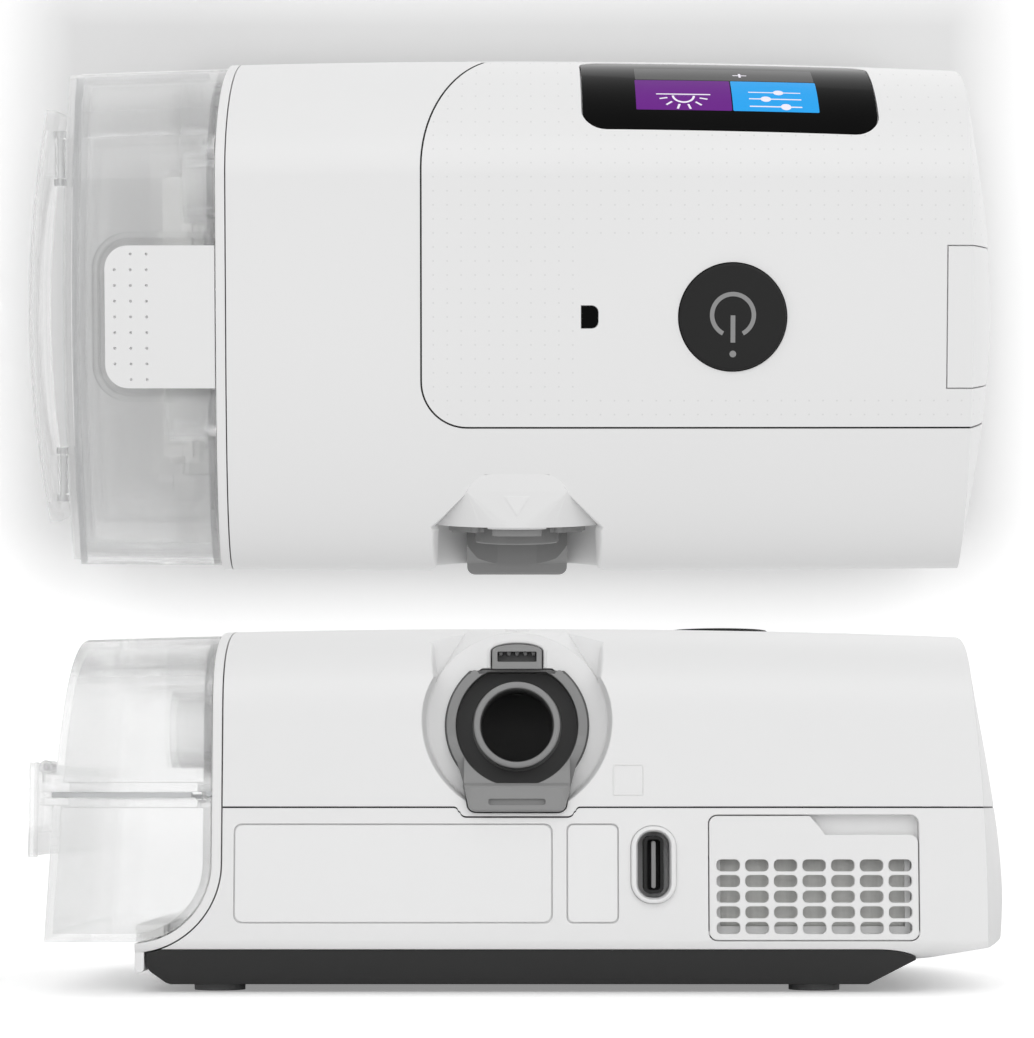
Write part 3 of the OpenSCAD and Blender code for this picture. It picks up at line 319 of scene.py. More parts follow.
def block(a, b):
    """Box between two opposite corners."""
    return prism([(a[0], a[1]), (b[0], a[1]), (b[0], b[1]), (a[0], b[1])], a[2], b[2], "Z")


def revolved(profile, centre, sides=128):
    """Solid of revolution about an upright line, from a profile that starts and ends on it."""
    points, faces = [], []
    inner = profile[1:-1]
    for k in range(sides):
        t = 2 * math.pi * k / sides
        points += [(centre[0] + r * math.cos(t), centre[1] + r * math.sin(t), z) for r, z in inner]
    low, high = len(points), len(points) + 1
    points += [(*centre, profile[0][1]), (*centre, profile[-1][1])]
    n = len(inner)
    for k in range(sides):
        j = (k + 1) % sides
        faces += [[k * n + i, j * n + i, j * n + i + 1, k * n + i + 1] for i in range(n - 1)]
        faces += [[low, j * n, k * n], [high, k * n + n - 1, j * n + n - 1]]
    return Solid(points, faces)


def hull(points):
    """Smallest solid without hollows round the points."""
    work = bmesh.new()
    for p in points:
        work.verts.new(p)
    bmesh.ops.remove_doubles(work, verts=work.verts, dist=1e-4)
    made = bmesh.ops.convex_hull(work, input=work.verts)
    unused = {v for v in made["geom_interior"] + made["geom_unused"] if isinstance(v, bmesh.types.BMVert)}
    bmesh.ops.delete(work, geom=list(unused), context="VERTS")
    bmesh.ops.dissolve_limit(work, angle_limit=0.0005, verts=work.verts, edges=work.edges)
    mesh = bpy.data.meshes.new("hull")
    work.to_mesh(mesh)
    work.free()
    tidy(mesh)
    return Solid.of(mesh)


def moved(solid, matrix):
    """Copy of a solid, set elsewhere."""
    mesh = solid.mesh.copy()
    mesh.transform(matrix)
    return Solid.of(mesh)


def arc(centre, radii, start, stop, steps):
    """Points on an ellipse from one angle in degrees to another."""
    turns = [math.radians(start + (stop - start) * k / steps) for k in range(steps + 1)]
    return [(centre[0] + radii[0] * math.cos(t), centre[1] + radii[1] * math.sin(t)) for t in turns]


def blunt(centre, radii, power, steps):
    """Squarer quarter arc, from straight up to straight out."""
    made = []
    for k in range(steps + 1):
        t = math.radians(90 - 90 * k / steps)
        c, s = max(math.cos(t), 0.0) ** (2 / power), max(math.sin(t), 0.0) ** (2 / power)
        made.append((centre[0] + radii[0] * c, centre[1] + radii[1] * s))
    return made


def rounded(centre, width, height, r, steps=8):
    """Rectangle with round corners."""
    x, y = width / 2 - r, height / 2 - r
    corners = [(x, y, 0), (-x, y, 90), (-x, -y, 180), (x, -y, 270)]
    return [p for cx, cy, a in corners
            for p in arc((centre[0] + cx, centre[1] + cy), (r, r), a, a + 90, steps)]


def slab(low, high, inner=0.0):
    """Everything between two heights, beyond a place along the length."""
    return block((inner, -90, low), (FAR, 90, high))


# ---- The machine's own curves


class Form:
    """Curves and rooms of the machine, in millimetres, from the sizes in the panel."""

    bow_ref = 113.0  # place along the length where the stated drops are reached
    side_half = 66.0  # half of the depth over which the ends bulge
    rear_power = 3.0  # squareness of the rear rounding
    screen_turns = (111.4, 161.9)  # where the screen starts and ends on the front curve, in degrees
    fit = 0.3  # gap round pieces that are let into the case
    ear_y, knuckle_y = 49.3, 43.5  # middles of the tub's ears and the lid's knuckles
    clip_pin_y, clip_pin_half = 42, 12

    def __init__(self, scene):
        for name, kind in SIZE_GROUPS.items():
            group = getattr(scene, name)
            for size in kind.__annotations__:
                setattr(self, size, getattr(group, size) / MM)
        self.sky = self.top_height + 26
        self.skin_low = self.skin_t - 0.05  # underside of the panel, lens and cover
        self.visor_front = self.roof(self.visor_y, 0)
        self.visor_low = self.outlet_z + math.sqrt(self.visor_r**2 - self.visor_half**2)
        self.tongue_low, self.tongue_high = self.part_height - 1.3, 52.5
        self.socket_w, self.socket_low = 12.7, 81.6
        self.well_top = self.socket_low - 0.7
        self.tab_under = self.crown(self.tab_x) - self.tub_inset - self.tab_t
        self.recess_z = self.tab_under - 4.6
        self.door_h = self.part_height - self.door_drop - self.door_low
        self.inlet_z = self.part_height - self.inlet_drop
        self.hinge_x, self.hinge_z = self.dock_x + 2.3, self.tub_joint - 0.3
        self.clip_pin_x, self.clip_pin_z = 121.2, 56.7
        self.cover_pin = (-124.95, self.cover_low + 0.6)
        self.sensor_x = -16.4
        self.ports = ((-34, 64, 8), (22, self.outlet_z, 9))  # place and radius of the two air ports
        self.latch_pin_x, self.latch_pin_z = 81.0, self.tab_under - 1.5

    # Front-to-back outline and its change along the length

    def outline(self, inset, steps=30):
        """Section from the front's foot over the top to the rear's foot, as (y, z) points."""
        front = (self.front_run - self.front_reach, self.front_low)
        radii = (self.front_run - inset, self.top_height - self.front_low - inset)
        r = self.foot_r - inset
        foot = self.case_low + self.foot_r
        return (
            arc(front, radii, 180, 90, steps)
            + blunt((0, self.rear_low), (self.rear_reach - inset, self.top_height - self.rear_low - inset),
                    self.rear_power, steps)
            + arc((self.rear_reach - self.foot_r, foot), (r, r), 0, -90, 6)
            + arc((self.foot_r - self.front_reach, foot), (r, r), -90, -180, 6)
        )

    def shrink(self, x, drop, full):
        """Share left of a full size after it has dropped towards the ends."""
        return 1 - drop / full * (x / self.bow_ref) ** 2

    def crown(self, x):
        """Height of the top at a place along the length."""
        rise = self.top_height - self.part_height
        return self.part_height + rise * self.shrink(x, self.crown_drop, rise)

    def ring(self, x, inset, steps=30):
        """The section at a place along the length."""
        rise = self.top_height - self.part_height
        made = []
        for y, z in self.outline(inset, steps):
            y *= self.shrink(x, self.front_bow, self.front_reach) if y < 0 else self.shrink(
                x, self.rear_bow, self.rear_reach)
            if z > self.part_height:
                z = self.part_height + (z - self.part_height) * self.shrink(x, self.crown_drop, rise)
            made.append((x, y, z))
        return made

    def end_at(self, y, z):
        """Reach of the closed end, which bulges in both directions."""
        corner = self.corner_reach - 5.2 * ((z - 20) / 72) ** 2
        middle = self.end_reach - 13.2 * (abs(z - 24) / 68) ** 1.6
        return corner + (middle - corner) * (1 - (y / self.side_half) ** 2)

    def tub_at(self, y, z):
        """Reach of the tub's outer face, which leans inwards as it rises."""
        lean = 0.055 * (z - 12) + 3.3 * (max(z - 46, 0) / 46) ** 2
        return self.tub_reach - lean + self.tub_bulge * (1 - (y / self.side_half) ** 2)

    # Main bodies

    def case_body(self, inset, steps=30, stops=26):
        """The whole case as one form, set in all round."""
        rings = [self.ring(-131 + 229 * k / stops, inset, steps) for k in range(stops + 1)]
        levels = [self.top_height * k / stops for k in range(stops + 1)] + [self.top_height + 3]
        ends = [
            [(inset - self.end_at(y, z), y, z) for y in range(-80, 81, 8)] + [(FAR, 80, z), (FAR, -80, z)]
            for z in levels
        ]
        return loft(rings) & loft(ends)

    def skin(self, outer, inner):
        """Layer of the case form between two depths."""
        return self.case_body(outer) - self.case_body(inner)

    def dock_room(self, grow):
        """Everything on the tub's side of the dock."""
        outline = (
            [(self.dock_x - grow, self.sky)]
            + arc((self.dock_x + self.dock_r, self.dock_ledge + self.dock_r),
                  (self.dock_r + grow, self.dock_r + grow), 180, 270, 24)
            + [(FAR, self.dock_ledge - grow), (FAR, self.sky)]
        )
        return prism(outline, -90, 90, "Y")

    def tub_body(self, skin, face, dock, stops=16):
        """Tub and lid as one form, set in at its skin, its outer face and its dock side."""
        inset = self.tub_inset + skin
        rings = [self.ring(66 + 70 * k / stops, inset) for k in range(stops + 1)]
        levels = [0] + [24 + 72 * k / stops for k in range(stops + 1)] + [self.top_height + 3]
        ends = [
            [(50, -80, z), (50, 80, z)] + [(self.tub_at(y, z) - face, y, z) for y in range(80, -81, -8)]
            for z in levels
        ]
        return (loft(rings) & loft(ends)) & self.dock_room(-self.dock_gap - dock)

    def above_parting(self, lift):
        """Everything above the line between the case halves, which dips under the outlet."""
        low, dip = self.part_height + lift, self.part_height - self.part_dip + lift
        outline = [(-FAR, low), (FAR, low), (FAR, self.sky), (-FAR, self.sky)]
        side = ([(17, low + 1), (17, low)] + arc((15.9, low - 1.1), (1.1, 1.1), 90, 172, 5)
                + arc((12.7, dip + 1.3), (1.6, 1.3), -8, -90, 6))
        notch = [(-x, z) for x, z in side] + side[::-1]
        return prism(outline, -100, 100, "Y") + prism(notch, 40, 90, "Y")

    def panel_room(self, grow):
        """Everything inside the top panel's edges."""
        outline = (
            [(-FAR, self.panel_y + grow)]
            + arc((self.panel_x - self.panel_r, self.panel_y - self.panel_r),
                  (self.panel_r + grow, self.panel_r + grow), 90, 0, 16)
            + arc((self.panel_x - self.panel_sweep, -self.panel_bend),
                  (self.panel_sweep + grow, self.front_reach + 2 - self.panel_bend + grow), 0, -90, 24)
            + [(-FAR, -self.front_reach - 2 - grow)]
        )
        return prism(outline, self.part_height - grow, self.part_height + 80, "Z")

    def cover_room(self, grow):
        """Everything inside the side cover's edges."""
        return block((-FAR, -self.cover_half - grow, self.cover_low - grow),
                     (grow - self.cover_x, self.cover_half + grow, self.sky))

    def clip_pin(self, r, side):
        """Bar on the clip's hinge line, on one side of the middle."""
        place = side * self.clip_pin_y
        return rod("Y", r, place - self.clip_pin_half, place + self.clip_pin_half,
                   self.clip_pin_x, self.clip_pin_z, 24)

    # Screen

    def screen_axes(self):
        """Width runs along the length, height up the slope and depth out of it."""
        ends = []
        for turn in self.screen_turns:
            t = math.radians(turn)
            ends.append(Vector((
                self.front_run - self.front_reach + self.front_run * math.cos(t),
                self.front_low + (self.top_height - self.front_low) * math.sin(t))))
        middle, across = (ends[0] + ends[1]) / 2, ends[0] - ends[1]
        lean = math.atan2(across.x, across.y)
        place = Matrix.Translation((self.screen_x, middle.x, middle.y))
        return place @ Matrix.Rotation(math.pi / 2 - lean, 4, "X"), across.length

    def screen_prism(self, outline, low=-12, high=28):
        """Outline in the screen's plane, drawn out along its depth."""
        return moved(prism(outline, low, high, "Z"), self.screen_axes()[0])

    def screen_room(self, grow):
        """Everything inside the screen's edges."""
        height = self.screen_axes()[1]
        return self.screen_prism(
            rounded((0, 0), self.screen_w + 2 * grow, height + 2 * grow, self.screen_r + grow))

    def sensor_room(self, grow):
        """Everything inside the light sensor's edges."""
        x, run, half = self.sensor_x, 4.2, 2.8
        outline = (
            [(x + grow, half + grow)]
            + arc((x - run + 1.6, half - 1.6), (1.6 + grow, 1.6 + grow), 90, 180, 6)
            + arc((x - run + 1.6, 1.6 - half), (1.6 + grow, 1.6 + grow), 180, 270, 6)
            + [(x + grow, -half - grow)]
        )
        return prism(outline, self.top_height - 15, self.sky, "Z")

    # Outlet

    def visor(self, lift=0.0):
        """Hood over the outlet, from a rounded nose on the top to an arc at the dish."""
        depths, foot, r = (self.dish_y - 2, self.dish_y), 78, self.visor_r
        rim = [(x, y, z) for y in depths for x, z in arc((0, self.outlet_z), (r, r), 30, 150, 60)
               if abs(x) <= self.visor_half and z > foot]
        rim += [(s * self.visor_half, y, z) for s in (-1, 1) for y in depths for z in (foot, self.visor_low)]
        nose = (arc((6.2, self.visor_y + 7), (7, 7), -20, -90, 14)
                + arc((-6.2, self.visor_y + 7), (7, 7), -90, -160, 14))
        solid = hull(rim + [(x, y, z) for x, y in nose for z in (foot, self.visor_front)])
        return moved(solid, Matrix.Translation((0, 0, lift))) if lift else solid

    def dish(self):
        """Bowl round the outlet with the hollows beside the visor."""
        return self.bowl() + (self.scoops() - self.visor())

    def bowl(self):
        """Round bowl: flat floor, upright wall and a lip that rolls out at the rear wall."""
        floor, out, r = self.dish_y, self.rear_reach, self.dish_r - 0.3
        profile = [(0, floor)] + arc((r - 0.8, floor + 0.8), (0.8, 0.8), -90, 0, 6)
        for k in range(13):
            t = math.radians(90 * k / 12)
            profile.append((r + 0.1 + 0.8 * (1 - math.cos(t)), out - 6 + 6 * math.sin(t)))
        profile += [(r + 1.0, out + 3), (0, out + 3)]
        turn = Matrix.Translation((0, 0, self.dish_z)) @ Matrix.Rotation(-math.pi / 2, 4, "X")
        half = self.tongue_w / 2 - 1
        return moved(revolved(profile, (0, 0), 160), turn) - block(
            (-half, floor + 1, 0), (half, 90, self.tongue_low - 0.25))

    def roof(self, y, x=22):
        """Height of the rear part of the top at a place front to back and along the length."""
        inside = max(1 - (min(y, self.rear_reach) / self.rear_reach) ** self.rear_power, 0.0)
        return (self.crown(x) - self.top_height + self.rear_low
                + (self.top_height - self.rear_low) * inside ** (1 / self.rear_power))

    def scoops(self):
        """Soft hollows beside the visor that roll out onto the roof and run into the bowl."""
        stops, nose = [], 8
        for k in range(9):
            t = k / 8
            stops.append((self.visor_y + (self.dish_y - self.visor_y) * t,
                          nose + (self.visor_half - nose) * t,
                          self.visor_front + (self.visor_low - self.visor_front) * t, 0.25 + 1.2 * t * t))
        wall = self.dish_r - 0.3
        for y, z, edge in ((55, 79.5, 22), (57, 79.4, 22.2), (59, 79.3, 22.2), (61, 79.1, 22.2),
                           (63, 78.9, 22.1), (64.5, 78.7, 22), (65.6, 78.5, 22), (66.2, 78.3, 21.9),
                           (68, 78, 21.9)):
            x = min(math.sqrt(wall**2 - (z - self.dish_z) ** 2), edge - 0.3)
            stops.append((y, x, z, edge - x))
        rings = []
        for y, x, z, width in stops:
            top = max(self.roof(y) + 0.03, z + 0.05)
            side = [(x + width * k / 14, z + (top - z) * (1 - (1 - k / 14) ** 2.2)) for k in range(15)]
            side.append((side[-1][0] + 0.2, self.sky))
            rings.append([(a, y, b) for a, b in side] + [(-a, y, b) for a, b in reversed(side)])
        return loft(rings)

    def tongue_outline(self, grow):
        """Release tongue seen from behind."""
        half, low, high = self.tongue_w / 2, self.tongue_low, self.tongue_high
        corner = arc((half - 3.1, low + 2), (2.1 + grow, 2 + grow), 0, -90, 6)
        right = [(half + grow, high), (half + grow, 51.7)] + corner
        return [(-x, z) for x, z in right] + right[::-1]

    def socket_outline(self, grow):
        """Tube socket with its arched top, seen from behind."""
        half, low = self.socket_w / 2, self.socket_low
        return ([(-half - grow, low - grow)]
                + arc((0, low + 4.6), (half + grow, 1.7 + grow), 180, 0, 20)
                + [(half + grow, low - grow)])

    def outlet_rooms(self, grow):
        """Rooms in the case for the tongue, the well and the tube socket."""
        tongue = prism(self.tongue_outline(grow), self.dish_y - 6, 90, "Y")
        well = rod("Y", self.well_r + 1.2 + grow, self.dish_y - 20, self.dish_y + 1, 0, self.outlet_z)
        well = well & block((-30, 0, 0), (30, 90, self.well_top + 0.6 + grow))
        socket = prism(self.socket_outline(grow), self.dish_y - 20, self.dish_y + 1, "Y")
        return tongue.plus(well, socket)

    def tab_outline(self, grow):
        """Thumb tab seen from above."""
        return ([(60, self.tab_half + grow)]
                + arc((self.tab_x - self.tab_r, self.tab_half - self.tab_r),
                      (self.tab_r + grow, self.tab_r + grow), 90, 0, 12)
                + arc((self.tab_x - self.tab_r, self.tab_r - self.tab_half),
                      (self.tab_r + grow, self.tab_r + grow), 0, -90, 12)
                + [(60, -self.tab_half - grow)])


# ---- Finishes


class Nodes:
    """Short ways to add, feed and join the nodes of one tree."""

    def __init__(self, tree):
        self.tree = tree

    def add(self, kind, inputs=None, **settings):
        node = self.tree.nodes.new(kind)
        for name, value in settings.items():
            setattr(node, name, value)
        self.feed(node, inputs or {})
        return node

    def feed(self, node, inputs):
        """Links each named input to a socket, or sets it to a constant."""
        for name, value in inputs.items():
            if hasattr(value, "is_output"):
                self.tree.links.new(value, node.inputs[name])
            else:
                node.inputs[name].default_value = value

    def math(self, operation, *values):
        """Result of one sum on sockets and constants."""
        return self.add("ShaderNodeMath", dict(enumerate(values)), operation=operation).outputs[0]

    def between(self, factor, low, high, start=0.0, stop=1.0):
        """Runs from low to high while the factor runs from start to stop."""
        inputs = {"Value": factor, "From Min": start, "From Max": stop, "To Min": low, "To Max": high}
        return self.add("ShaderNodeMapRange", inputs).outputs["Result"]


class Finish(Nodes):
    """A node material under construction, with its texture in the frame's own coordinates."""

    def __init__(self, name):
        self.material = bpy.data.materials.new("finish_" + name)
        self.material.use_nodes = True
        super().__init__(self.material.node_tree)
        self.shader = self.tree.nodes["Principled BSDF"]
        self.place = self.add("ShaderNodeTexCoord").outputs["Object"]

    def noise(self, scale, detail=2.0, stretch=None):
        """Noise with about that many waves in a metre."""
        place = self.place
        if stretch:
            place = self.add("ShaderNodeMapping", {"Scale": stretch, "Vector": place}).outputs["Vector"]
        inputs = {"Scale": scale, "Detail": detail, "Vector": place}
        return self.add("ShaderNodeTexNoise", inputs).outputs["Fac"]

    def cells(self, scale, **settings):
        """Cell pattern with about that many cells in a metre."""
        return self.add("ShaderNodeTexVoronoi", {"Scale": scale, "Vector": self.place},
                        **settings).outputs["Distance"]

    def along(self):
        """Places along the length and from front to back."""
        split = self.add("ShaderNodeSeparateXYZ", {0: self.place})
        return split.outputs["X"], split.outputs["Y"]

    def shades(self, factor, dark, light):
        """Colour between two by a factor."""
        ends = {name: end if hasattr(end, "is_output") else (*end, 1)
                for name, end in (("A", dark), ("B", light))}
        return self.add("ShaderNodeMix", {"Factor": factor, **ends}, data_type="RGBA").outputs["Result"]

    def relief(self, height, depth, normal=None):
        """Bump of a depth in metres."""
        under = {} if normal is None else {"Normal": normal}
        return self.add("ShaderNodeBump", {"Distance": depth, "Height": height, **under}).outputs["Normal"]

    def soft_edges(self, radius):
        """Normal that rounds off hard edges, by a radius in metres."""
        return self.add("ShaderNodeBevel", {"Radius": radius}, samples=6).outputs["Normal"]

    def dressed(self, level, rough, normal=None, **constants):
        """Feeds the shader and gives back the material; a constant's name has _ for each space."""
        inputs = {"Base Color": level, "Roughness": rough}
        inputs.update({name.replace("_", " "): value for name, value in constants.items()})
        if normal is not None:
            inputs["Normal"] = normal
        self.feed(self.shader, inputs)
        return self.material


def tone(level, factor):
    """Lighter or darker colour."""
    return tuple(min(c * factor, 1.0) for c in level)


def plastic(finish, level, rough, grain=3500.0, depth=4e-6, edge=3.5e-4, drift=0.015):
    """Colour, roughness and normal of moulded plastic: drift of tone, eroded grain, rounded edges."""
    drifted = finish.shades(finish.noise(14.0, 3.0), tone(level, 1 - drift), tone(level, 1 + drift))
    fine = finish.noise(grain, 3.0)
    normal = finish.relief(fine, depth, finish.soft_edges(edge) if edge else None)
    return drifted, finish.between(fine, rough - 0.06, rough + 0.06), normal


def moulded(name, level, rough, *grain, gloss=0.5):
    """Moulded plastic of one colour."""
    finish = Finish(name)
    return finish.dressed(*plastic(finish, level, rough, *grain), Specular_IOR_Level=gloss)


def case_white(colours):
    """White moulded plastic of the case."""
    finish = Finish("case_white")
    return finish.dressed(*plastic(finish, colours.case, 0.42), IOR=1.46)


def panel_white(colours, form):
    """Case plastic with a square field of faint raised dots outside the smooth pad; the dots are also
    darkened in colour as painted shade.
    """
    finish = Finish("panel_white")
    level, rough, normal = plastic(finish, colours.case, 0.42)
    x, y = finish.along()
    offsets = [finish.math("PINGPONG", value, form.dot_pitch * MM / 2) for value in (x, y)]
    distance = finish.math("SQRT", finish.math(
        "ADD", *[finish.math("MULTIPLY", o, o) for o in offsets]))
    dot = finish.between(distance, 1.0, 0.0, form.dot_r * MM * 0.5, form.dot_r * MM)
    pad_ends = finish.math("MAXIMUM", finish.math("LESS_THAN", x, -form.cover_x * MM),
                           finish.math("GREATER_THAN", x, form.sensor_x * MM))
    pad_sides = finish.math("GREATER_THAN", finish.math("ABSOLUTE", y), form.cover_half * MM)
    dots = finish.math("MULTIPLY", dot, finish.math("MAXIMUM", pad_ends, pad_sides))
    # Dots darker than the case: painted shade of their relief
    return finish.dressed(finish.shades(dots, level, tone(colours.case, 0.87)), rough,
                          finish.relief(dots, 8e-6, normal))


def gloss_black(colours):
    """Hard-coated lens: near black, with a faint smear in the gloss."""
    finish = Finish("black_gloss")
    return finish.dressed(
        finish.shades(finish.noise(30.0, 2.0), colours.lens, tone(colours.lens, 1.8)),
        finish.between(finish.noise(60.0, 4.0), 0.05, 0.12),
        finish.soft_edges(3e-4), Specular_IOR_Level=0.2, IOR=1.12)


def lit_tile(name, level, glow):
    """Backlit patch of the screen under its lens, with a faint line texture."""
    finish = Finish(name)
    lines = finish.noise(900.0, 1.0, stretch=(1.0, 12.0, 12.0))
    lit = finish.shades(lines, tone(level, 0.95), tone(level, 1.05))
    return finish.dressed(lit, 0.1, Emission_Color=lit, Emission_Strength=glow,
                          Specular_IOR_Level=0.2, IOR=1.12)


def clear_plastic(colours):
    """Clear polycarbonate with real walls: faint haze, moulding waves and bright edges."""
    finish = Finish("clear_plastic")
    return finish.dressed(
        finish.shades(finish.noise(20.0, 2.0), tone(colours.clear, 0.985), colours.clear),
        finish.between(finish.noise(120.0, 3.0), 0.04, 0.09),
        finish.relief(finish.noise(60.0, 1.0), 1.2e-5, finish.soft_edges(3e-4)),
        IOR=1.45, Transmission_Weight=0.82, Alpha=0.72)


def milky(name, level, rough, transmission):
    """Silicone: cloudy, slightly tacky surface with dust."""
    finish = Finish(name)
    return finish.dressed(
        finish.shades(finish.noise(70.0, 4.0), tone(level, 0.94), level),
        finish.between(finish.noise(900.0, 3.0), rough, rough + 0.15),
        finish.relief(finish.noise(1500.0), 6e-6, finish.soft_edges(3e-4)),
        Transmission_Weight=transmission)


def brushed(name, level, rough, stretch):
    """Metal with brushing lines along one way."""
    finish = Finish(name)
    lines = finish.noise(900.0, 3.0, stretch=stretch)
    return finish.dressed(
        finish.shades(lines, tone(level, 0.9), level), finish.between(lines, rough, rough + 0.18),
        finish.relief(lines, 4e-6, finish.soft_edges(2e-4)), Metallic=1.0)


def winding(name, level):
    """Enamelled copper wire laid in close turns, with the grooves between turns darkened as painted shade."""
    finish = Finish(name)
    inputs = {"Scale": 320.0, "Distortion": 0.6, "Vector": finish.place}
    wave = finish.add("ShaderNodeTexWave", inputs, wave_type="BANDS", bands_direction="Z").outputs["Fac"]
    return finish.dressed(
        finish.shades(wave, tone(level, 0.35), level), finish.between(finish.noise(400.0), 0.25, 0.4),
        finish.relief(wave, 1.5e-4), Metallic=0.85)


def circuit(name, level):
    """Solder mask with copper tracks just under it and small bare pads."""
    finish = Finish(name)
    track = finish.math(
        "LESS_THAN", finish.cells(260.0, feature="DISTANCE_TO_EDGE", distance="MANHATTAN"), 0.07)
    pad = finish.math("LESS_THAN", finish.cells(420.0, distance="CHEBYCHEV"), 0.16)
    tracks = finish.shades(track, level, tone(level, 1.7))
    return finish.dressed(
        finish.shades(pad, tracks, (0.62, 0.55, 0.36)), finish.between(finish.noise(500.0), 0.3, 0.45),
        finish.relief(track, 3e-5))


def open_foam(name, level, cell):
    """Open-cell foam: pores darkened as painted shade between pale strands."""
    finish = Finish(name)
    strands = finish.between(finish.cells(cell, feature="DISTANCE_TO_EDGE"), 1.0, 0.0)
    return finish.dressed(finish.shades(strands, tone(level, 0.35), level), 0.95,
                          finish.relief(strands, 5e-4), Sheen_Weight=0.2)


def felted(name, level):
    """Fibre filter: matted threads in two directions."""
    finish = Finish(name)
    threads = [finish.math("MULTIPLY", finish.noise(700.0, 4.0, stretch=stretch), 0.5)
               for stretch in ((0.15, 1.0, 1.0), (1.0, 1.0, 0.15))]
    mat = finish.math("ADD", *threads)
    return finish.dressed(finish.shades(mat, tone(level, 0.55), level), 0.9,
                          finish.relief(mat, 2.5e-4), Sheen_Weight=0.3)


def every_finish(scene):
    """Makes each finish once."""
    colours = scene.bilevel_colours
    charcoal = colours.charcoal
    case_white(colours)
    panel_white(colours, Form(scene))
    clear_plastic(colours)
    gloss_black(colours)
    # Colour, roughness, waves of the grain in a metre, its depth, edge radius and drift of tone
    moulded("charcoal_plastic", charcoal, 0.55, 2200.0, 1.2e-5, 4e-4, 0.08, gloss=0.15)
    # Charcoal made lighter for the well and the inside of the tube socket: painted light against the shade
    # down there
    moulded("charcoal_painted_light", tone(charcoal, 3.8), 0.55, 2200.0, 8e-6, 3e-4, 0.06, gloss=0.15)
    # Charcoal made lighter, yet darker than the grey cone, for the duct and the lining in the cone's bore:
    # painted shade of the bore
    moulded("bore_painted_shade", tone(charcoal, 4.0), 0.6, 1500.0, 8e-6, 3e-4, 0.1, gloss=0.15)
    moulded("button_black", colours.button, 0.42, 3000.0, 4e-6, 4e-4, 0.1, gloss=0.12)
    moulded("symbol_grey", colours.symbol, 0.5, 3000.0, 2e-6, 0, 0.04)
    moulded("black_plastic", tone(charcoal, 0.5), 0.45, 2500.0, 8e-6, 2e-4, 0.1, gloss=0.15)
    moulded("grey_plastic", colours.connector, 0.48, 2600.0, 6e-6, 3e-4, 0.04, gloss=0.25)
    moulded("foot_rubber", (0.3, 0.3, 0.305), 0.8, 1800.0, 3e-5, 3e-4, 0.15)
    moulded("label_white", colours.label, 0.5, 1500.0, 3e-6, 1.5e-4, 0.01)
    milky("soft_silicone", (0.8, 0.81, 0.82), 0.35, 0.35)
    brushed("steel", (0.6, 0.61, 0.62), 0.22, (1.0, 1.0, 0.05))
    brushed("steel_dull", (0.3, 0.3, 0.3), 0.4, (1.0, 1.0, 0.1))
    brushed("plate_metal", (0.66, 0.66, 0.65), 0.25, (1.0, 0.05, 1.0))
    winding("copper", (0.75, 0.36, 0.16))
    circuit("circuit_board", (0.02, 0.13, 0.06))
    open_foam("foam", colours.foam, 900.0)
    felted("filter_media", (0.78, 0.78, 0.76))
    lit_tile("tile_left", colours.tile_left, 0.35)
    lit_tile("tile_right", colours.tile_right, 0.35)
    lit_tile("menu_bar", colours.menu_bar, 0.2)
    lit_tile("icon_light", (0.75, 0.72, 0.8), 0.3)


def finish_of(name):
    """Finish that was made before, by its name."""
    found = bpy.data.materials.get("finish_" + name)
    if found is None:
        raise RuntimeError(f"the finish {name} isn't made yet: run Finishes first")
    return found


# ---- Pieces


def dress(mesh, finish, sharp):
    """One finish and smooth shading all over, broken at edges sharper than an angle in degrees."""
    mesh.materials.clear()
    mesh.materials.append(finish_of(finish))
    mesh.polygons.foreach_set("material_index", [0] * len(mesh.polygons))
    mesh.polygons.foreach_set("use_smooth", [True] * len(mesh.polygons))
    mesh.set_sharp_from_angle(angle=math.radians(sharp))


def add_piece(name, solid, finish, body, nodes=(), slot=None, sharp=32.0):
    """Sets a solid down as a piece in metres, smooth between its sharp edges, riding on its body.

    A slot can be given, but it is not used.
    """
    mesh = solid.mesh.copy()
    mesh.name = name
    mesh.transform(Matrix.Scale(MM, 4))
    dress(mesh, finish, sharp)
    piece = linked(name, mesh)
    weighted = piece.modifiers.new("Weighted normals", "WEIGHTED_NORMAL")
    weighted.keep_sharp = True
    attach(piece, body)
    if nodes:
        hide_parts(*nodes)
    slot = slot or finish


class Finishes(Operator):
    """Makes every finish and gives the carried-over parts theirs"""

    bl_idname = "bilevel.finishes"
    bl_label = "Finishes"

    carried = {
        "foot_rubber": ["rubber_feet"],
        "steel": ["case_screws", "heater_springs", "lid_hinge_pins", "latch_pin", "latch_spring",
                  "motor_shaft", "card_slot", "radio_module"],
        "clear_plastic": ["clip_pins", "tub_port_insert"],
        "plate_metal": ["heater_plate", "tub_heat_plate"],
        "black_gloss": ["display_module", "light_sensor_window"],
        "black_plastic": ["button_switch", "memory_card", "buzzer"],
        "soft_silicone": ["button_spring", "dock_seals", "blower_mount", "blower_duct"],
        "bore_painted_shade": ["outlet_duct"],
        "case_white": ["silencer_box", "intake_duct", "impeller", "filter_frame"],
        "grey_plastic": ["inlet_contacts"],
        "charcoal_plastic": ["blower_housing", "blower_cap"],
        "steel_dull": ["tube_contacts"],
        "label_white": ["label_plate", "small_label_plate"],
        "circuit_board": ["main_board", "power_board", "flow_sensor"],
        "copper": ["motor_stator"],
    }

    def execute(self, context):
        every_finish(context.scene)
        for finish, nodes in self.carried.items():
            for node in nodes:
                dress(frame["nodes"][node].data, finish, 30)
        return {"FINISHED"}


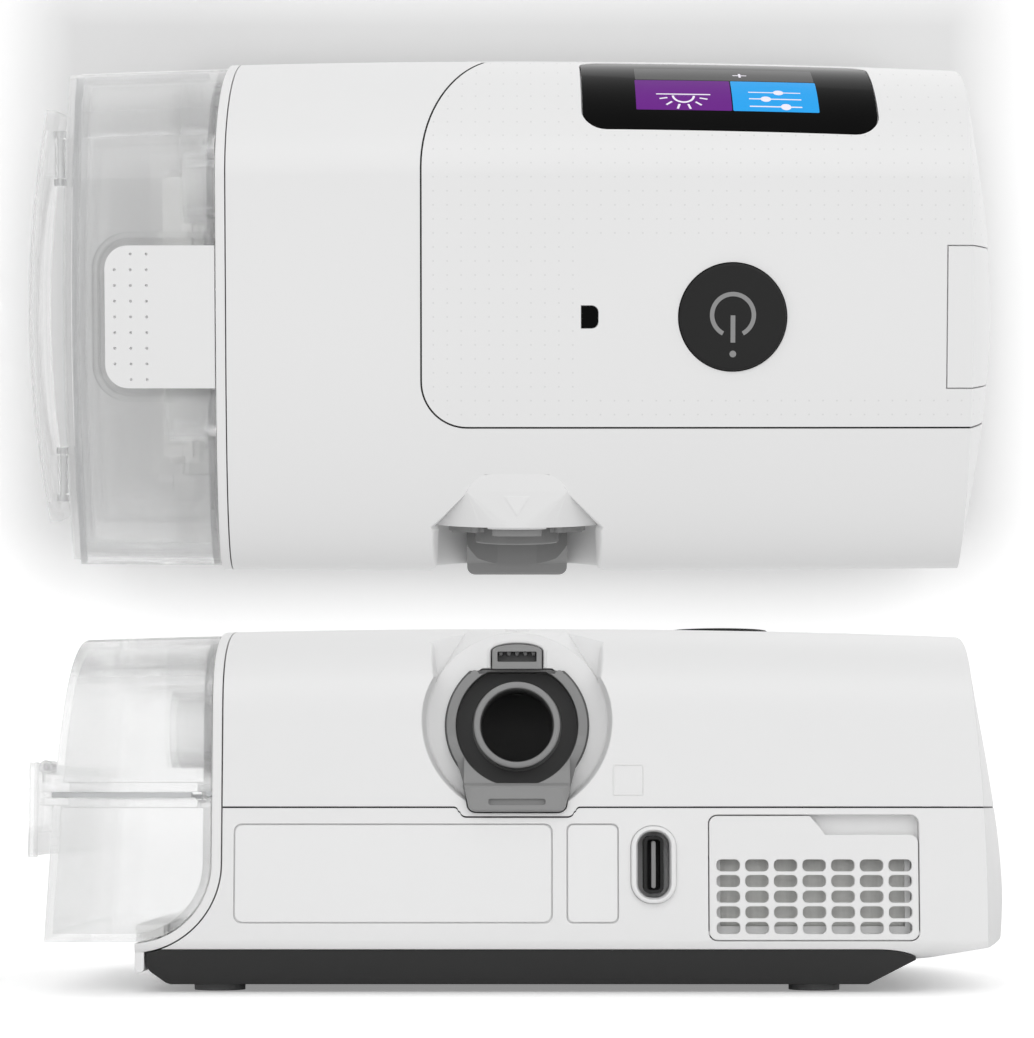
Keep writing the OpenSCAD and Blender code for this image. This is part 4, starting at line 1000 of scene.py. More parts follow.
class UpperCase(Operator):
    """Builds the upper case with its dish, visor and pockets"""

    bl_idname = "bilevel.upper_case"
    bl_label = "Upper case"

    def execute(self, context):
        form = Form(context.scene)
        seam = form.seam
        shell = form.case_body(0) + form.visor()
        hollow = form.case_body(form.case_wall, 16, 12).minus(
            rod("Y", form.dish_r + form.case_wall, form.dish_y - form.case_wall, 90, 0, form.dish_z),
            block((-form.visor_half - 8, 37, 76), (form.visor_half + 8, 70, form.sky)),
        )
        case = shell.minus(
            hollow,
            form.dish(),
            form.outlet_rooms(form.fit),
            form.panel_room(seam + 0.12) - form.case_body(form.skin_t),
            form.cover_room(seam) - form.case_body(form.skin_t),
            rod("Y", 1.9, -form.cover_half - seam, form.cover_half + seam, *form.cover_pin, 32),
            form.screen_prism(rounded((0, 0), form.screen_w - 22.6, form.screen_axes()[1] - 14, 2)),
            rod("Z", form.button_r + form.fit, 80, form.sky, form.button_x, 0),
            form.dock_room(form.rim_t + seam),
        ) & form.above_parting(0.05)
        add_piece("upper_case_shell", case, "case_white", "case", ["upper_case"])

        # Dark strip in the line between the case halves, as painted shade of the seam, open above the door's
        # finger notch
        seam_shade = form.skin(0.3, 1.5) & (form.above_parting(0.02 - seam) - form.above_parting(0.03))
        seam_shade = seam_shade.minus(form.outlet_rooms(form.fit), form.dish(), form.dock_room(form.rim_t + seam),
                              block((-80.1, 50, 0), (-72, 90, 90)))
        add_piece("parting_seam_shade", seam_shade, "black_plastic", "case")

        # Raised marks: an arrow on the visor, in the slightly lighter label white as a painted highlight, and
        # an empty square frame on the rear wall
        arrow = prism([(3.1, 45.9), (-3.1, 45.9), (0, 50.8)], 80, form.sky, "Z")
        arrow = (arrow & form.visor(0.3)) - form.visor(-0.2)
        add_piece("visor_arrow", arrow, "label_white", "case", slot="case_white")
        mark = (-28.0, 53.2)
        square = prism(rounded(mark, 7.8, 7.8, 0.4, 3), 60, 90, "Y") - prism(
            rounded(mark, 7.1, 7.1, 0.3, 3), 50, 95, "Y")
        add_piece("rear_mark", (square & form.case_body(-0.12)) - form.case_body(0.2), "case_white", "case")
        return {"FINISHED"}


class LowerCase(Operator):
    """Builds the lower case with the places of its door, labels and inlet"""

    bl_idname = "bilevel.lower_case"
    bl_label = "Lower case"

    def execute(self, context):
        form = Form(context.scene)
        seam, back = form.seam, form.rear_reach
        room = form.case_body(form.case_wall, 16, 12) & block(
            (-124, -80, form.tray_top + 2.7), (form.dock_x - form.rim_t - 2.2, 80, 60))
        under = ([(FAR, form.tray_top)] + arc((-90, 8.4), (10.4, form.tray_top - 8.4), 90, 180, 12)
                 + [(-104, 8.8), (-128, 13), (-140, 15), (-140, -5), (FAR, -5)])
        inlet = (form.inlet_x, form.inlet_z)
        low = 17.7
        height = form.part_height - 4.6 - low
        labels = [prism(rounded((x, low + height / 2), width + 2 * seam, height + 2 * seam, r),
                        back - 1, 90, "Y")
                  for x, width, r in ((31.1, 79.4, 2), (-19, 12.4, 1.6))]
        middle = (form.door_x - form.door_w / 2, form.door_low + form.door_h / 2)
        door = prism(rounded(middle, form.door_w + 2 * form.fit, form.door_h + 2 * form.fit, 2.3),
                     back - form.case_wall - 2, 90, "Y")
        pins = [
            rod("X", 0.71, x, x + 3.9, back - 1.5, form.door_low + 1.6, 24)
            for x in (form.door_x - form.door_w - 1.2, form.door_x - 2.7)
        ]
        case = form.case_body(0).minus(
            form.above_parting(-seam),
            room,
            prism(under, -90, 90, "Y"),
            form.dock_room(form.rim_t + seam),
            door,
            form.outlet_rooms(form.fit),
            form.dish(),
            *pins,
            *labels,
            prism(rounded(inlet, form.bezel_w - 1.6, form.bezel_h - 1.6, 4.6), 50, 90, "Y"),
            prism(rounded(inlet, form.bezel_w + 0.2, form.bezel_h + 0.2, 5.4), back - 1.2, 90, "Y"),
            block((84.2, -44.3, 5), (95, 44.3, 40)),
        )
        add_piece("lower_case_shell", case, "case_white", "case", ["lower_case"])
        return {"FINISHED"}


class BaseTray(Operator):
    """Builds the charcoal tray that the machine stands in"""

    bl_idname = "bilevel.base_tray"
    bl_label = "Base tray"

    def execute(self, context):
        form = Form(context.scene)
        side = ([(92.2, form.tray_top - 0.15), (93.0, 9.9), (93.3, 9.2), (93.3, 7.6), (92.9, 6.3),
                 (92.2, 5.2), (88.4, form.tray_low + 0.4), (87.2, form.tray_low), (-88.4, form.tray_low)]
                + arc((-90, 8.4 - 0.15), (10.2, form.tray_top - 8.4), 180, 90, 12))
        across = [(3.2 - form.front_reach, form.tray_top), (6.5 - form.front_reach, form.tray_low),
                  (form.rear_reach - 4.6, form.tray_low), (form.rear_reach - 1.2, form.tray_top)]
        tray = (prism(side, -90, 90, "Y") & prism(across, -110, 110, "X")).minus(
            form.dock_room(form.rim_t + form.seam),
            block((-84, -56, form.tray_low + 2.4), (76, 54, 20)),
            *[rod("Z", 6.6, -1, form.tray_low + 1, x, y, 48) for x in (-76, 76) for y in (-48, 48)],
            *[rod("Z", 3.2, 6, 20, 88.8, y, 32) for y in (-34, 0, 34)],
        )
        add_piece("base_tray_shell", tray, "charcoal_plastic", "case", ["base_tray"])
        return {"FINISHED"}


class DockFrame(Operator):
    """Builds the white rim that the tub slides into"""

    bl_idname = "bilevel.dock_frame"
    bl_label = "Dock frame"

    def execute(self, context):
        form = Form(context.scene)
        rim = form.case_body(0) & block((60, -90, 0), (form.ledge_x, 90, form.sky))
        rim = rim & (form.dock_room(form.rim_t) - form.dock_room(0))
        nose = prism(rounded((form.ledge_x - 1.15, 8.65), 2.3, 7.3, 1.1), 3.6 - form.front_reach,
                     form.rear_reach - 1.6, "Y")
        rim = (rim + nose).minus(
            block((84.2, -44.3, 0), (93.5, 44.3, 40)),
            *[rod("X", r, 60, 90, y, z) for y, z, r in form.ports],
            *[rod("X", r + 1.8, form.dock_x - 1.3, 90, y, z) for y, z, r in form.ports],
        )
        add_piece("dock_rim", rim, "case_white", "case", ["dock_frame"])
        return {"FINISHED"}


class TopPanel(Operator):
    """Builds the dotted top panel and a dark strip in its seam as painted shade"""

    bl_idname = "bilevel.top_panel"
    bl_label = "Top panel"

    def execute(self, context):
        form = Form(context.scene)
        above = block((-FAR, -100, form.part_height + form.seam), (FAR, 100, form.sky))
        panel = (form.skin(0, form.skin_low) & form.panel_room(0) & above).minus(
            form.screen_room(form.seam),
            form.sensor_room(0.15),
            form.cover_room(form.seam),
            rod("Z", form.button_r + form.fit, 80, form.sky, form.button_x, 0),
            rod("Y", 1.9, -form.cover_half - 0.2, form.cover_half + 0.2, *form.cover_pin, 32),
        )
        add_piece("top_panel_skin", panel, "panel_white", "case", ["top_panel"], "case_white")
        # Dark strip in the panel's seam: painted shade of the gap
        gap = form.panel_room(form.seam + 0.11) - form.panel_room(0.01)
        seam_shade = form.skin(0.2, form.skin_low) & gap & above
        add_piece("panel_seam_shade", seam_shade.minus(form.cover_room(form.seam)), "black_plastic", "case")
        return {"FINISHED"}


class Screen(Operator):
    """Builds the screen lens and the lit patches under it"""

    bl_idname = "bilevel.screen"
    bl_label = "Screen"

    def execute(self, context):
        form = Form(context.scene)
        lens = form.skin(0.04, form.skin_low) & form.screen_room(0)
        add_piece("screen_lens_cover", lens, "black_gloss", "case", ["screen_lens"])

        tile_depth, icon_depth = 0.022, 0.006

        def patch(name, outlines, finish, depth, holes=()):
            """Thin lit layer just under the face of the lens."""
            parts = [form.screen_prism(o) for o in outlines]
            solid = parts[0].plus(*parts[1:]) if len(parts) > 1 else parts[0]
            solid = solid & form.skin(depth, 0.1)
            if holes:
                solid = solid.minus(*[form.screen_prism(h) for h in holes])
            add_piece(name, solid, finish, "case", slot="black_gloss")

        def bar(x, y, width, height):
            return rounded((x, y), width, height, min(width, height) * 0.02 + 0.02, 2)

        for name, finish, place in (("violet_tile", "tile_left", (11.7, 7.1, 24.6, 16.6)),
                                    ("blue_tile", "tile_right", (-11.95, 7.1, 22.1, 16.6)),
                                    ("menu_strip", "menu_bar", (0.5, -7.4, 46.6, 11.4))):
            patch(name, [bar(*place)], finish, tile_depth)
        patch("menu_cross", [bar(-3.7, -6.4, 3.6, 0.6), bar(-3.7, -6.4, 0.6, 3.6)], "icon_light", icon_depth)

        # Half sun with six rays over a bar, and three sliders with round knobs
        sun = (11.7, 8.7)
        marks = [arc(sun, (3.0, 3.6), 0, 180, 20)]
        for turn in (15, 45, 75, 105, 135, 165):
            t = math.radians(turn)
            out = Vector((math.cos(t), math.sin(t)))
            side = Vector((-out.y, out.x)) * 0.28
            a, b = Vector(sun) + out * 4.3, Vector(sun) + out * 6.4
            marks.append([tuple(a - side), tuple(b - side), tuple(b + side), tuple(a + side)])
        marks.append(bar(sun[0], sun[1] - 0.8, 14, 0.55))
        patch("half_sun", marks, "icon_light", icon_depth, holes=[arc(sun, (2.4, 2.9), 0, 180, 20)])
        x, y = -11.95, 9.7
        rows = ((3.6, -2.6), (0.0, 2.4), (-3.6, -1.0))
        marks = [bar(x, y + row, 13.5, 0.5) for row, shift in rows]
        marks += [arc((x + shift, y + row), (1.35, 1.35), 0, 345, 23) for row, shift in rows]
        patch("three_sliders", marks, "icon_light", icon_depth)
        return {"FINISHED"}


class StartButton(Operator):
    """Builds the start button with its symbol"""

    bl_idname = "bilevel.start_button"
    bl_label = "Start button"

    def execute(self, context):
        form = Form(context.scene)
        x, r = form.button_x, form.button_r
        top = form.top_height + form.button_rise - 0.03
        low = form.crown(abs(x) + r + 1.5) - form.case_wall - 0.4
        profile = ([(0, low - 4.6), (2.6, low - 4.6), (2.6, low - 1.3), (r + 1.2, low - 1.3), (r + 1.2, low),
                    (r, low), (r, top - 0.7)] + arc((r - 0.7, top - 0.7), (0.7, 0.7), 8, 90, 8) + [(0, top)])
        add_piece("start_button_cap", revolved(profile, (x, 0)), "button_black", "button",
                  ["start_button"], "black_plastic")

        # Open ring with a stem in its mouth and a dot under it
        under, over = top - 0.2, top + 0.02
        ring = rod("Z", 5.87, under, over, x, -0.5) - rod("Z", 4.75, 0, 120, x, -0.5)
        ring = ring.minus(prism([(x, -0.5), (x + 11, 20), (x - 11, 20)], 0, 120, "Z"))
        stem = block((x - 0.6, -0.4, under), (x + 0.6, 6.5, over))
        dot = rod("Z", 0.85, under, over, x, 9.4, 32)
        add_piece("start_symbol", ring.plus(stem, dot), "symbol_grey", "button", slot="black_plastic")
        return {"FINISHED"}


class SideCover(Operator):
    """Builds the side cover over the card slot"""

    bl_idname = "bilevel.side_cover"
    bl_label = "Side cover"

    def execute(self, context):
        form = Form(context.scene)
        cover = form.skin(0, form.skin_low) & form.cover_room(0)
        half = form.cover_half
        cover = cover.plus(*[rod("Y", 0.45, a, b, *form.cover_pin, 24)
                             for a, b in ((-half - 1.1, -half + 1), (half - 1, half + 1.1))])
        add_piece("side_cover_skin", cover, "case_white", "cover", ["side_cover"])
        return {"FINISHED"}


class TubBase(Operator):
    """Builds the clear water tub with its flange, ears and seal"""

    bl_idname = "bilevel.tub_base"
    bl_label = "Tub base and seal"

    def execute(self, context):
        form = Form(context.scene)
        low, top, wall = 46.8, form.tub_joint - 1.4, form.tub_wall
        hx, hz = form.hinge_x, form.hinge_z
        body = form.tub_body(0, 0, 0) & slab(0, low + 1)
        flange = form.tub_body(0, -2.3, 0) & slab(low, top)
        room = form.tub_body(wall, wall, wall) & slab(0, low - 0.5)
        inner = form.flange_w
        mouth = form.tub_body(inner, inner, inner) & slab(30, 60)
        plate_hole = block((88.8, -40.8, 5), (97.5, 40.8, 20))
        tub = (body + flange).minus(room, mouth, plate_hole, rod("Y", 2.4, -80, 80, hx, hz, 32))
        ears = []
        for s in (-1, 1):
            a, b = s * form.ear_y - 1.3, s * form.ear_y + 1.3
            ears += [rod("Y", 1.8, a, b, hx, hz, 32), block((hx + 0.2, a, hz - 3.4), (hx + 1.8, b, hz))]
        tub = tub.plus(*ears).minus(rod("Y", 0.85, -51, 51, hx, hz, 24))
        add_piece("tub_shell", tub, "clear_plastic", "tub", ["tub_base"])

        seal = form.tub_body(0.6, -0.6, 0.6) & slab(top, form.tub_joint - 0.1)
        inner = form.flange_w - 0.4
        seal = seal.minus(form.tub_body(inner, inner, inner), block((60, -90, 40), (hx + 3.1, 90, 60)))
        add_piece("tub_gasket", seal, "soft_silicone", "tub", ["tub_seal"])
        return {"FINISHED"}


class TubLid(Operator):
    """Builds the clear domed lid with its flange, recess and lugs"""

    bl_idname = "bilevel.tub_lid"
    bl_label = "Tub lid"

    def execute(self, context):
        form = Form(context.scene)
        wall, joint = form.tub_wall, form.tub_joint
        hx, hz, cx, cz = form.hinge_x, form.hinge_z, form.clip_pin_x, form.clip_pin_z
        dome = form.tub_body(0, 0, 0) & slab(joint, form.sky)
        flange = form.tub_body(0, -2.5, 0) & slab(joint, joint + 4.6)
        room = form.tub_body(wall, wall, wall).minus(
            slab(0, joint + 2.4),
            prism(form.tab_outline(form.tab_groove + 1.6), form.recess_z - 1.6, form.sky, "Z"),
        )
        inner = form.flange_w
        mouth = form.tub_body(inner, inner, inner) & slab(30, joint + 2.5)
        lid = (dome + flange).minus(
            room, mouth, prism(form.tab_outline(form.tab_groove), form.recess_z, form.sky, "Z"))
        latch_block = block((form.dock_x + form.dock_gap + 0.1, -13, form.recess_z - 1),
                            (85, 13, form.tab_under - 0.35))
        fixed = [latch_block]
        holes = [rod("Y", 0.91, -52, 52, hx, hz, 24),
                 rod("Y", 0.8, -17, 17, form.latch_pin_x, form.latch_pin_z, 24),
                 *[rod("X", r + 0.5, 60, 90, y, z) for y, z, r in form.ports]]
        for s in (-1, 1):
            for y in (35.6, 48.2):
                a, b = s * y - 0.9, s * y + 0.9
                fixed += [rod("Y", 1.7, a, b, cx, cz, 32), block((116.6, a, joint + 2.5), (cx + 0.8, b, cz))]
            a, b = s * form.knuckle_y - 4, s * form.knuckle_y + 4
            fixed += [rod("Y", 1.8, a, b, hx, hz, 32), block((hx - 0.6, a, hz), (hx + 1.4, b, joint + 1))]
            holes += [form.clip_pin(0.85, s),
                      rod("Y", 2.4, s * form.ear_y - 1.5, s * form.ear_y + 1.5, hx, hz, 32)]
        lid = lid.plus(*fixed).minus(*holes)
        add_piece("tub_lid_shell", lid, "clear_plastic", "lid", ["tub_lid"])
        return {"FINISHED"}


class LatchTab(Operator):
    """Builds the white thumb tab with its rows of pits"""

    bl_idname = "bilevel.latch_tab"
    bl_label = "Latch tab"

    def execute(self, context):
        form = Form(context.scene)
        outer, inner = [loft([form.ring(70 + 65 * k / 16, form.tub_inset + depth) for k in range(17)])
                        for depth in (0, form.tab_t)]
        plate = (outer - inner) & prism(form.tab_outline(0), 60, 120, "Z")
        plate = plate & block((form.dock_x + form.dock_gap, -30, 60), (110, 30, form.sky))
        px, pz = form.latch_pin_x, form.latch_pin_z
        ears = []
        for s in (-1, 1):
            a, b = s * 14.2 - 0.9, s * 14.2 + 0.9
            ears += [rod("Y", 1.7, a, b, px, pz, 32),
                     block((px - 1.6, a, pz), (px + 1.6, b, form.tab_under + 0.8))]
        pits = []
        for x, count in ((94.5, 9), (98.6, 9), (102.7, 7)):
            top = form.crown(x) - form.tub_inset
            pits += [cone("Z", 0.2, 0.42, top - 0.9, top + 0.1, x, 4 * (k - (count - 1) / 2), 16)
                     for k in range(count)]
        tab = plate.plus(*ears).minus(rod("Y", 0.86, -20, 20, px, pz, 24), *pits)
        add_piece("thumb_tab", tab, "case_white", "tab", ["latch_tab"], sharp=28)
        return {"FINISHED"}


class TubClip(Operator):
    """Builds the clear clip that swings over the tub's outer face"""

    bl_idname = "bilevel.tub_clip"
    bl_label = "Tub clip"

    def execute(self, context):
        form = Form(context.scene)
        centre = form.end_reach - form.clip_r
        half, t, low, high = form.clip_half, form.clip_t, form.clip_low, form.clip_high

        def band(r_out, r_in, z_low, z_high, reach):
            outer = arc((centre, 0), (r_out, r_out), -14, 14, 90)
            inner = arc((centre, 0), (r_in, r_in), 14, -14, 90)
            return prism(outer + inner, z_low, z_high, "Z") & block((100, -reach, 0), (FAR, reach, 90))

        clip = band(form.clip_r, form.clip_r - t, low, high, half)
        # A shallow field on the outer face leaves a raised border, with a lip for the fingers below
        clip = clip.minus(band(form.clip_r + 1, form.clip_r - 0.5, low + 6, high - 4, half - 5))
        parts, holes = [], []
        for s in (-1, 1):
            a, b = s * 41.9 - 5.1, s * 41.9 + 5.1
            parts += [rod("Y", 1.7, a, b, form.clip_pin_x, form.clip_pin_z, 32),
                      block((form.clip_pin_x, a, high - 2.2), (125.6, b, high))]
            holes.append(form.clip_pin(0.91, s))
        clip = clip.plus(*parts).minus(*holes)
        add_piece("tub_clip_band", clip, "clear_plastic", "clip", ["tub_clip"])
        return {"FINISHED"}


class Outlet(Operator):
    """Builds the well, the connector with its tongue, the cone and the tube socket"""

    bl_idname = "bilevel.outlet"
    bl_label = "Outlet"

    def execute(self, context):
        form = Form(context.scene)
        z, floor, half = form.outlet_z, form.dish_y, form.tongue_w / 2
        high, low = form.tongue_high, form.tongue_low
        top = form.well_top
        well = rod("Y", form.well_r + 1.2, form.well_y, floor + 0.05, 0, z, 128) & block(
            (-30, 0, high - 1.2), (30, 90, top + 0.6))
        well_room = rod("Y", form.well_r, form.well_y + 2, 90, 0, z, 128) & block(
            (-30, 0, high), (30, 90, top))
        # Thin dark ring laid on the dish floor just outside the connector's arms: painted shade of the gap
        # round them
        flange = rod("Y", form.frame_r + 0.5, floor + 0.01, floor + 0.07, 0, z, 128) & block(
            (-30, 0, high), (30, 90, top + 0.3))
        well = (well + flange).minus(well_room, rod("Y", form.cone_r + 0.62, 0, 90, 0, z))
        add_piece("outlet_well_wall", well, "charcoal_painted_light", "connector", ["outlet_well"], "charcoal_plastic")

        # The connector seen from the side, from behind and from above
        profile = ([(floor + 0.1, low), (form.tongue_reach - 0.5, low), (form.tongue_reach, low + 0.5),
                    (form.tongue_reach, 51.2), (form.tongue_reach - 0.6, 51.75), (66.2, 52.4)]
                   + [(64.6, 55.4), (61, 58.6), (57.9, 61.0), (56.5, 62.6), (55.95, 64.6)]
                   + [(55.9, 82), (floor + 0.1, 82)])
        face = (arc((0, z), (form.frame_r, form.frame_r), 47, -32, 48)
                + form.tongue_outline(0)[:0:-1][1:-1]
                + arc((0, z), (form.frame_r, form.frame_r), 212, 133, 48))
        turn, middle_r = math.radians(50), 16.85
        ends = [rod("Y", 1.15, floor + 0.1, 55.9, s * middle_r * math.cos(turn),
                    z + middle_r * math.sin(turn), 32) for s in (-1, 1)]
        bore = rod("Y", form.well_r + 0.1, 0, 90, 0, z, 128) & block((-30, 0, high - 0.1), (30, 90, form.sky))
        grip = prism(rounded((0, 47.7), 14.3, 1.5, 0.6, 6), form.tongue_reach - 1, 90, "Y")
        plan = block((-20, 0, 0), (20, 57, 95)) + prism(
            rounded((0, form.tongue_reach - 8), 2 * half, 16, 2.2), 0, 95, "Z")
        connector = prism(profile, -20, 20, "X") & prism(face, floor, 90, "Y") & plan
        connector = connector.minus(bore, grip).plus(*ends)
        add_piece("outlet_connector_frame", connector, "grey_plastic", "connector", ["outlet_connector"],
                  sharp=26)

        r, bevel = form.cone_r, 0.5
        wall = [(r + 0.6, form.well_y - 1), (r + 0.6, form.well_y + 2.05), (r, form.well_y + 2.06),
                (r, form.cone_y - bevel)]
        wall += arc((r - bevel, form.cone_y - bevel), (bevel, bevel), 0, 90, 5)[1:]
        inner = form.cone_bore
        wall += arc((inner + 0.35, form.cone_y - 0.35), (0.35, 0.35), 90, 180, 4) + [(inner, form.well_y - 1)]
        spout = turned_y(wall, (0, z))
        add_piece("outlet_cone_wall", spout, "grey_plastic", "connector", ["outlet_cone"])
        # Dark lining just inside the grey cone's bore: painted shade down the bore
        bore_shade_lining = [(inner - 0.02, form.cone_y - 0.8), (inner - 0.02, form.well_y - 0.9),
                  (inner - 0.12, form.well_y - 0.9), (inner - 0.12, form.cone_y - 0.9)]
        add_piece("outlet_bore_shade_lining", turned_y(bore_shade_lining, (0, z)), "bore_painted_shade", "connector",
                  slot="charcoal_plastic")

        socket = prism(form.socket_outline(0), floor - 6, floor + 2.4, "Y")
        mouth = rounded((0, form.socket_low + 3.1), 10, 2.6, 0.3, 3)
        socket = socket.minus(prism(mouth, floor - 4, 90, "Y"))
        add_piece("tube_socket_block", socket, "grey_plastic", "case", ["tube_socket"])
        back = prism(rounded((0, form.socket_low + 3.1), 9.9, 2.5, 0.3, 3), floor - 3.98, floor - 1.5, "Y")
        teeth = [prism([(x - 0.6, form.socket_low + 4.36), (x - 0.35, form.socket_low + 3.7),
                        (x + 0.35, form.socket_low + 3.7), (x + 0.6, form.socket_low + 4.36)],
                       floor - 2, floor + 1.7, "Y") for x in (-4.2, -2.1, 0, 2.1, 4.2)]
        add_piece("tube_socket_inside", back.plus(*teeth), "charcoal_painted_light", "case", slot="charcoal_plastic")
        lip = prism(form.socket_outline(1.25), floor - 1.5, floor + 0.55, "Y") - prism(
            form.socket_outline(0.5), 0, 90, "Y")
        lip = lip & block((-20, 0, form.socket_low + 0.3), (20, 90, 95))
        add_piece("tube_socket_lip", lip, "case_white", "case")
        return {"FINISHED"}


def turned_y(profile, centre, sides=128):
    """Closed ring of revolution about a line along Y, from (radius, y) points all round the wall."""
    points, faces, n = [], [], len(profile)
    for k in range(sides):
        t = 2 * math.pi * k / sides
        points += [(centre[0] + r * math.cos(t), y, centre[1] + r * math.sin(t)) for r, y in profile]
        j = (k + 1) % sides
        faces += [[k * n + i, k * n + (i + 1) % n, j * n + (i + 1) % n, j * n + i] for i in range(n)]
    return Solid(points, faces)


class FilterDoor(Operator):
    """Builds the slotted door and the filter pad behind it"""

    bl_idname = "bilevel.filter_door"
    bl_label = "Filter door and filter"

    def execute(self, context):
        form = Form(context.scene)
        x, w, low, h = form.door_x, form.door_w, form.door_low, form.door_h
        face, notch, deep = form.rear_reach - 0.5, -74.0, 4.7
        outline = (arc((x - 2, low + h - 2), (2, 2), 0, 90, 8)
                   + arc((notch + 0.6, low + h - 0.6), (0.6, 0.6), 90, 130, 3)
                   + [(notch - 2.9, low + h - deep + 0.9)]
                   + arc((notch - 3.9, low + h - deep + 0.6), (0.9, 0.6), -40, -90, 3)
                   + arc((x - w + 2, low + h - deep - 2), (2, 2), 90, 180, 8)
                   + arc((x - w + 2, low + 2), (2, 2), 180, 270, 8)
                   + arc((x - 2, low + 2), (2, 2), 270, 360, 8))
        first_x, first_z = x - 1.8 - form.slot_w / 2, low + 20.1 - form.slot_h / 2
        pitch_x, pitch_z = 7.2, 3.9
        slots = [prism(rounded((first_x - column * pitch_x, first_z - row * pitch_z),
                               form.slot_w, form.slot_h, 1.25, 6), 50, 90, "Y")
                 for column in range(7) for row in range(5)]
        pins = [rod("X", 0.65, a, a + 2, form.rear_reach - 1.5, low + 1.6, 24) for a in (x - w - 1, x - 1)]
        door = prism(outline, face - form.door_t, face, "Y").minus(*slots).plus(*pins)
        add_piece("filter_door_panel", door, "case_white", "filter_flap", ["filter_door"])

        middle = (x - w / 2, low + h / 2)
        pocket = prism(rounded(middle, w + 2.2, h + 2.2, 3), face - 4.15, face - form.door_t - 0.05, "Y")
        pocket = pocket.minus(prism(rounded(middle, w + 0.6, h + 0.6, 2.3), face - 3.4, 90, "Y"),
                              block((-120, 0, 0), (0, 90, low + 21)))
        add_piece("door_pocket", pocket, "case_white", "case")

        low_corner, high_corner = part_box("air_filter")
        pressed = Vector((0.0008, 0, 0.0008))
        low_corner, high_corner = low_corner - pressed, high_corner + pressed
        pad = pillow(low_corner, high_corner, (26, 6, 16), 0.0012, (0.30, 0.45, 0.30), 0.0006)
        set_pad("air_filter_pad", pad, "filter_media", "case", ["air_filter"])
        return {"FINISHED"}


def pillow(low, high, cells, corner, power, pleat):
    """Foam block in metres: rounded edges, faces a little crowned, with shallow folds across its front."""
    work = bmesh.new()
    bmesh.ops.create_cube(work, size=2.0)
    for axis, count in enumerate(cells):
        for step in range(1, count):
            co, no = [0, 0, 0], [0, 0, 0]
            co[axis], no[axis] = -1 + 2 * step / count, 1
            bmesh.ops.bisect_plane(work, geom=work.verts[:] + work.edges[:] + work.faces[:],
                                   plane_co=co, plane_no=no)
    middle, half = (low + high) / 2, (high - low) / 2
    for vert in work.verts:
        u = vert.co.copy()
        spot = []
        for axis in range(3):
            others = [abs(u[k]) for k in range(3) if k != axis]
            crown = 1 - 0.06 * (others[0] ** 4 + others[1] ** 4) * power[axis]
            spot.append(u[axis] * crown * half[axis])
        inner = Vector(max(-(half[k] - corner), min(half[k] - corner, spot[k])) for k in range(3))
        out = Vector(spot) - inner
        if out.length > corner:
            out = out.normalized() * corner
        place = inner + out
        if abs(u[1]) > 0.99:
            place.y -= math.copysign(pleat * (0.5 + 0.5 * math.cos(u[0] * 26)), u[1]) * (1 - u[2] ** 6)
        vert.co = place + middle
    mesh = bpy.data.meshes.new("pad")
    work.to_mesh(mesh)
    work.free()
    tidy(mesh)
    return mesh


def set_pad(name, mesh, finish, body, nodes):
    """Sets a soft block down as a piece, riding on its body."""
    mesh.name = name
    mesh.materials.append(finish_of(finish))
    mesh.polygons.foreach_set("use_smooth", [True] * len(mesh.polygons))
    piece = linked(name, mesh)
    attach(piece, body)
    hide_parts(*nodes)


class SilencerFoam(Operator):
    """Builds the two foam blocks in the silencer box"""

    bl_idname = "bilevel.silencer_foam"
    bl_label = "Silencer foam"

    def execute(self, context):
        form = Form(context.scene)
        floor, top = form.tray_top + 2.7, form.top_height - 26.5
        lower = [Vector((-101.7, -27.7, floor + 2.2)) * MM, Vector((-52.3, 8, 38)) * MM]
        upper = [Vector((-101.7, 12, 44)) * MM, Vector((-52.3, 48.1, top - 2.3)) * MM]
        blocks = [pillow(a, b, (18, 14, 10), 0.002, (0.5, 0.5, 0.5), 0.0) for a, b in (lower, upper)]
        work = bmesh.new()
        for mesh in blocks:
            work.from_mesh(mesh)
        both = bpy.data.meshes.new("foam_blocks")
        work.to_mesh(both)
        work.free()
        set_pad("silencer_foam_blocks", both, "foam", "case", ["silencer_foam"])
        return {"FINISHED"}


class PowerInlet(Operator):
    """Builds the inlet's bezel and socket"""

    bl_idname = "bilevel.power_inlet"
    bl_label = "Power inlet"

    def execute(self, context):
        form = Form(context.scene)
        at, back, w, h = (form.inlet_x, form.inlet_z), form.rear_reach, form.bezel_w, form.bezel_h

        def stepped(width, height, r, stops):
            """Long oval that grows or shrinks on all sides from stop to stop."""
            return loft([[(x, back + rise, z)
                          for x, z in rounded(at, width + 2 * grow, height + 2 * grow, r + grow, 12)]
                         for rise, grow in stops])

        collar = stepped(w, h, 5.3, ((-1.1, 0), (1.55, 0), (1.8, -0.12), (1.95, -0.35), (2, -0.7)))
        stem = prism(rounded(at, w - 1.8, h - 1.8, 4.5, 12), 57, back - 1, "Y")
        funnel = stepped(8, 16.5, 3.6, ((59 - back, 0), (1, 0), (2, 0.45), (3, 0.6)))
        add_piece("inlet_collar", collar.plus(stem).minus(funnel), "case_white", "case", ["inlet_bezel"],
                  sharp=40)
        socket = prism(rounded(at, 5, 14.3, 1.6, 8), 59, back + 0.4, "Y").minus(
            prism(rounded(at, 3.3, 12.6, 0.9, 6), 61, 90, "Y"))
        add_piece("inlet_socket_block", socket, "black_plastic", "case", ["inlet_socket"])
        return {"FINISHED"}


# ---- Stage


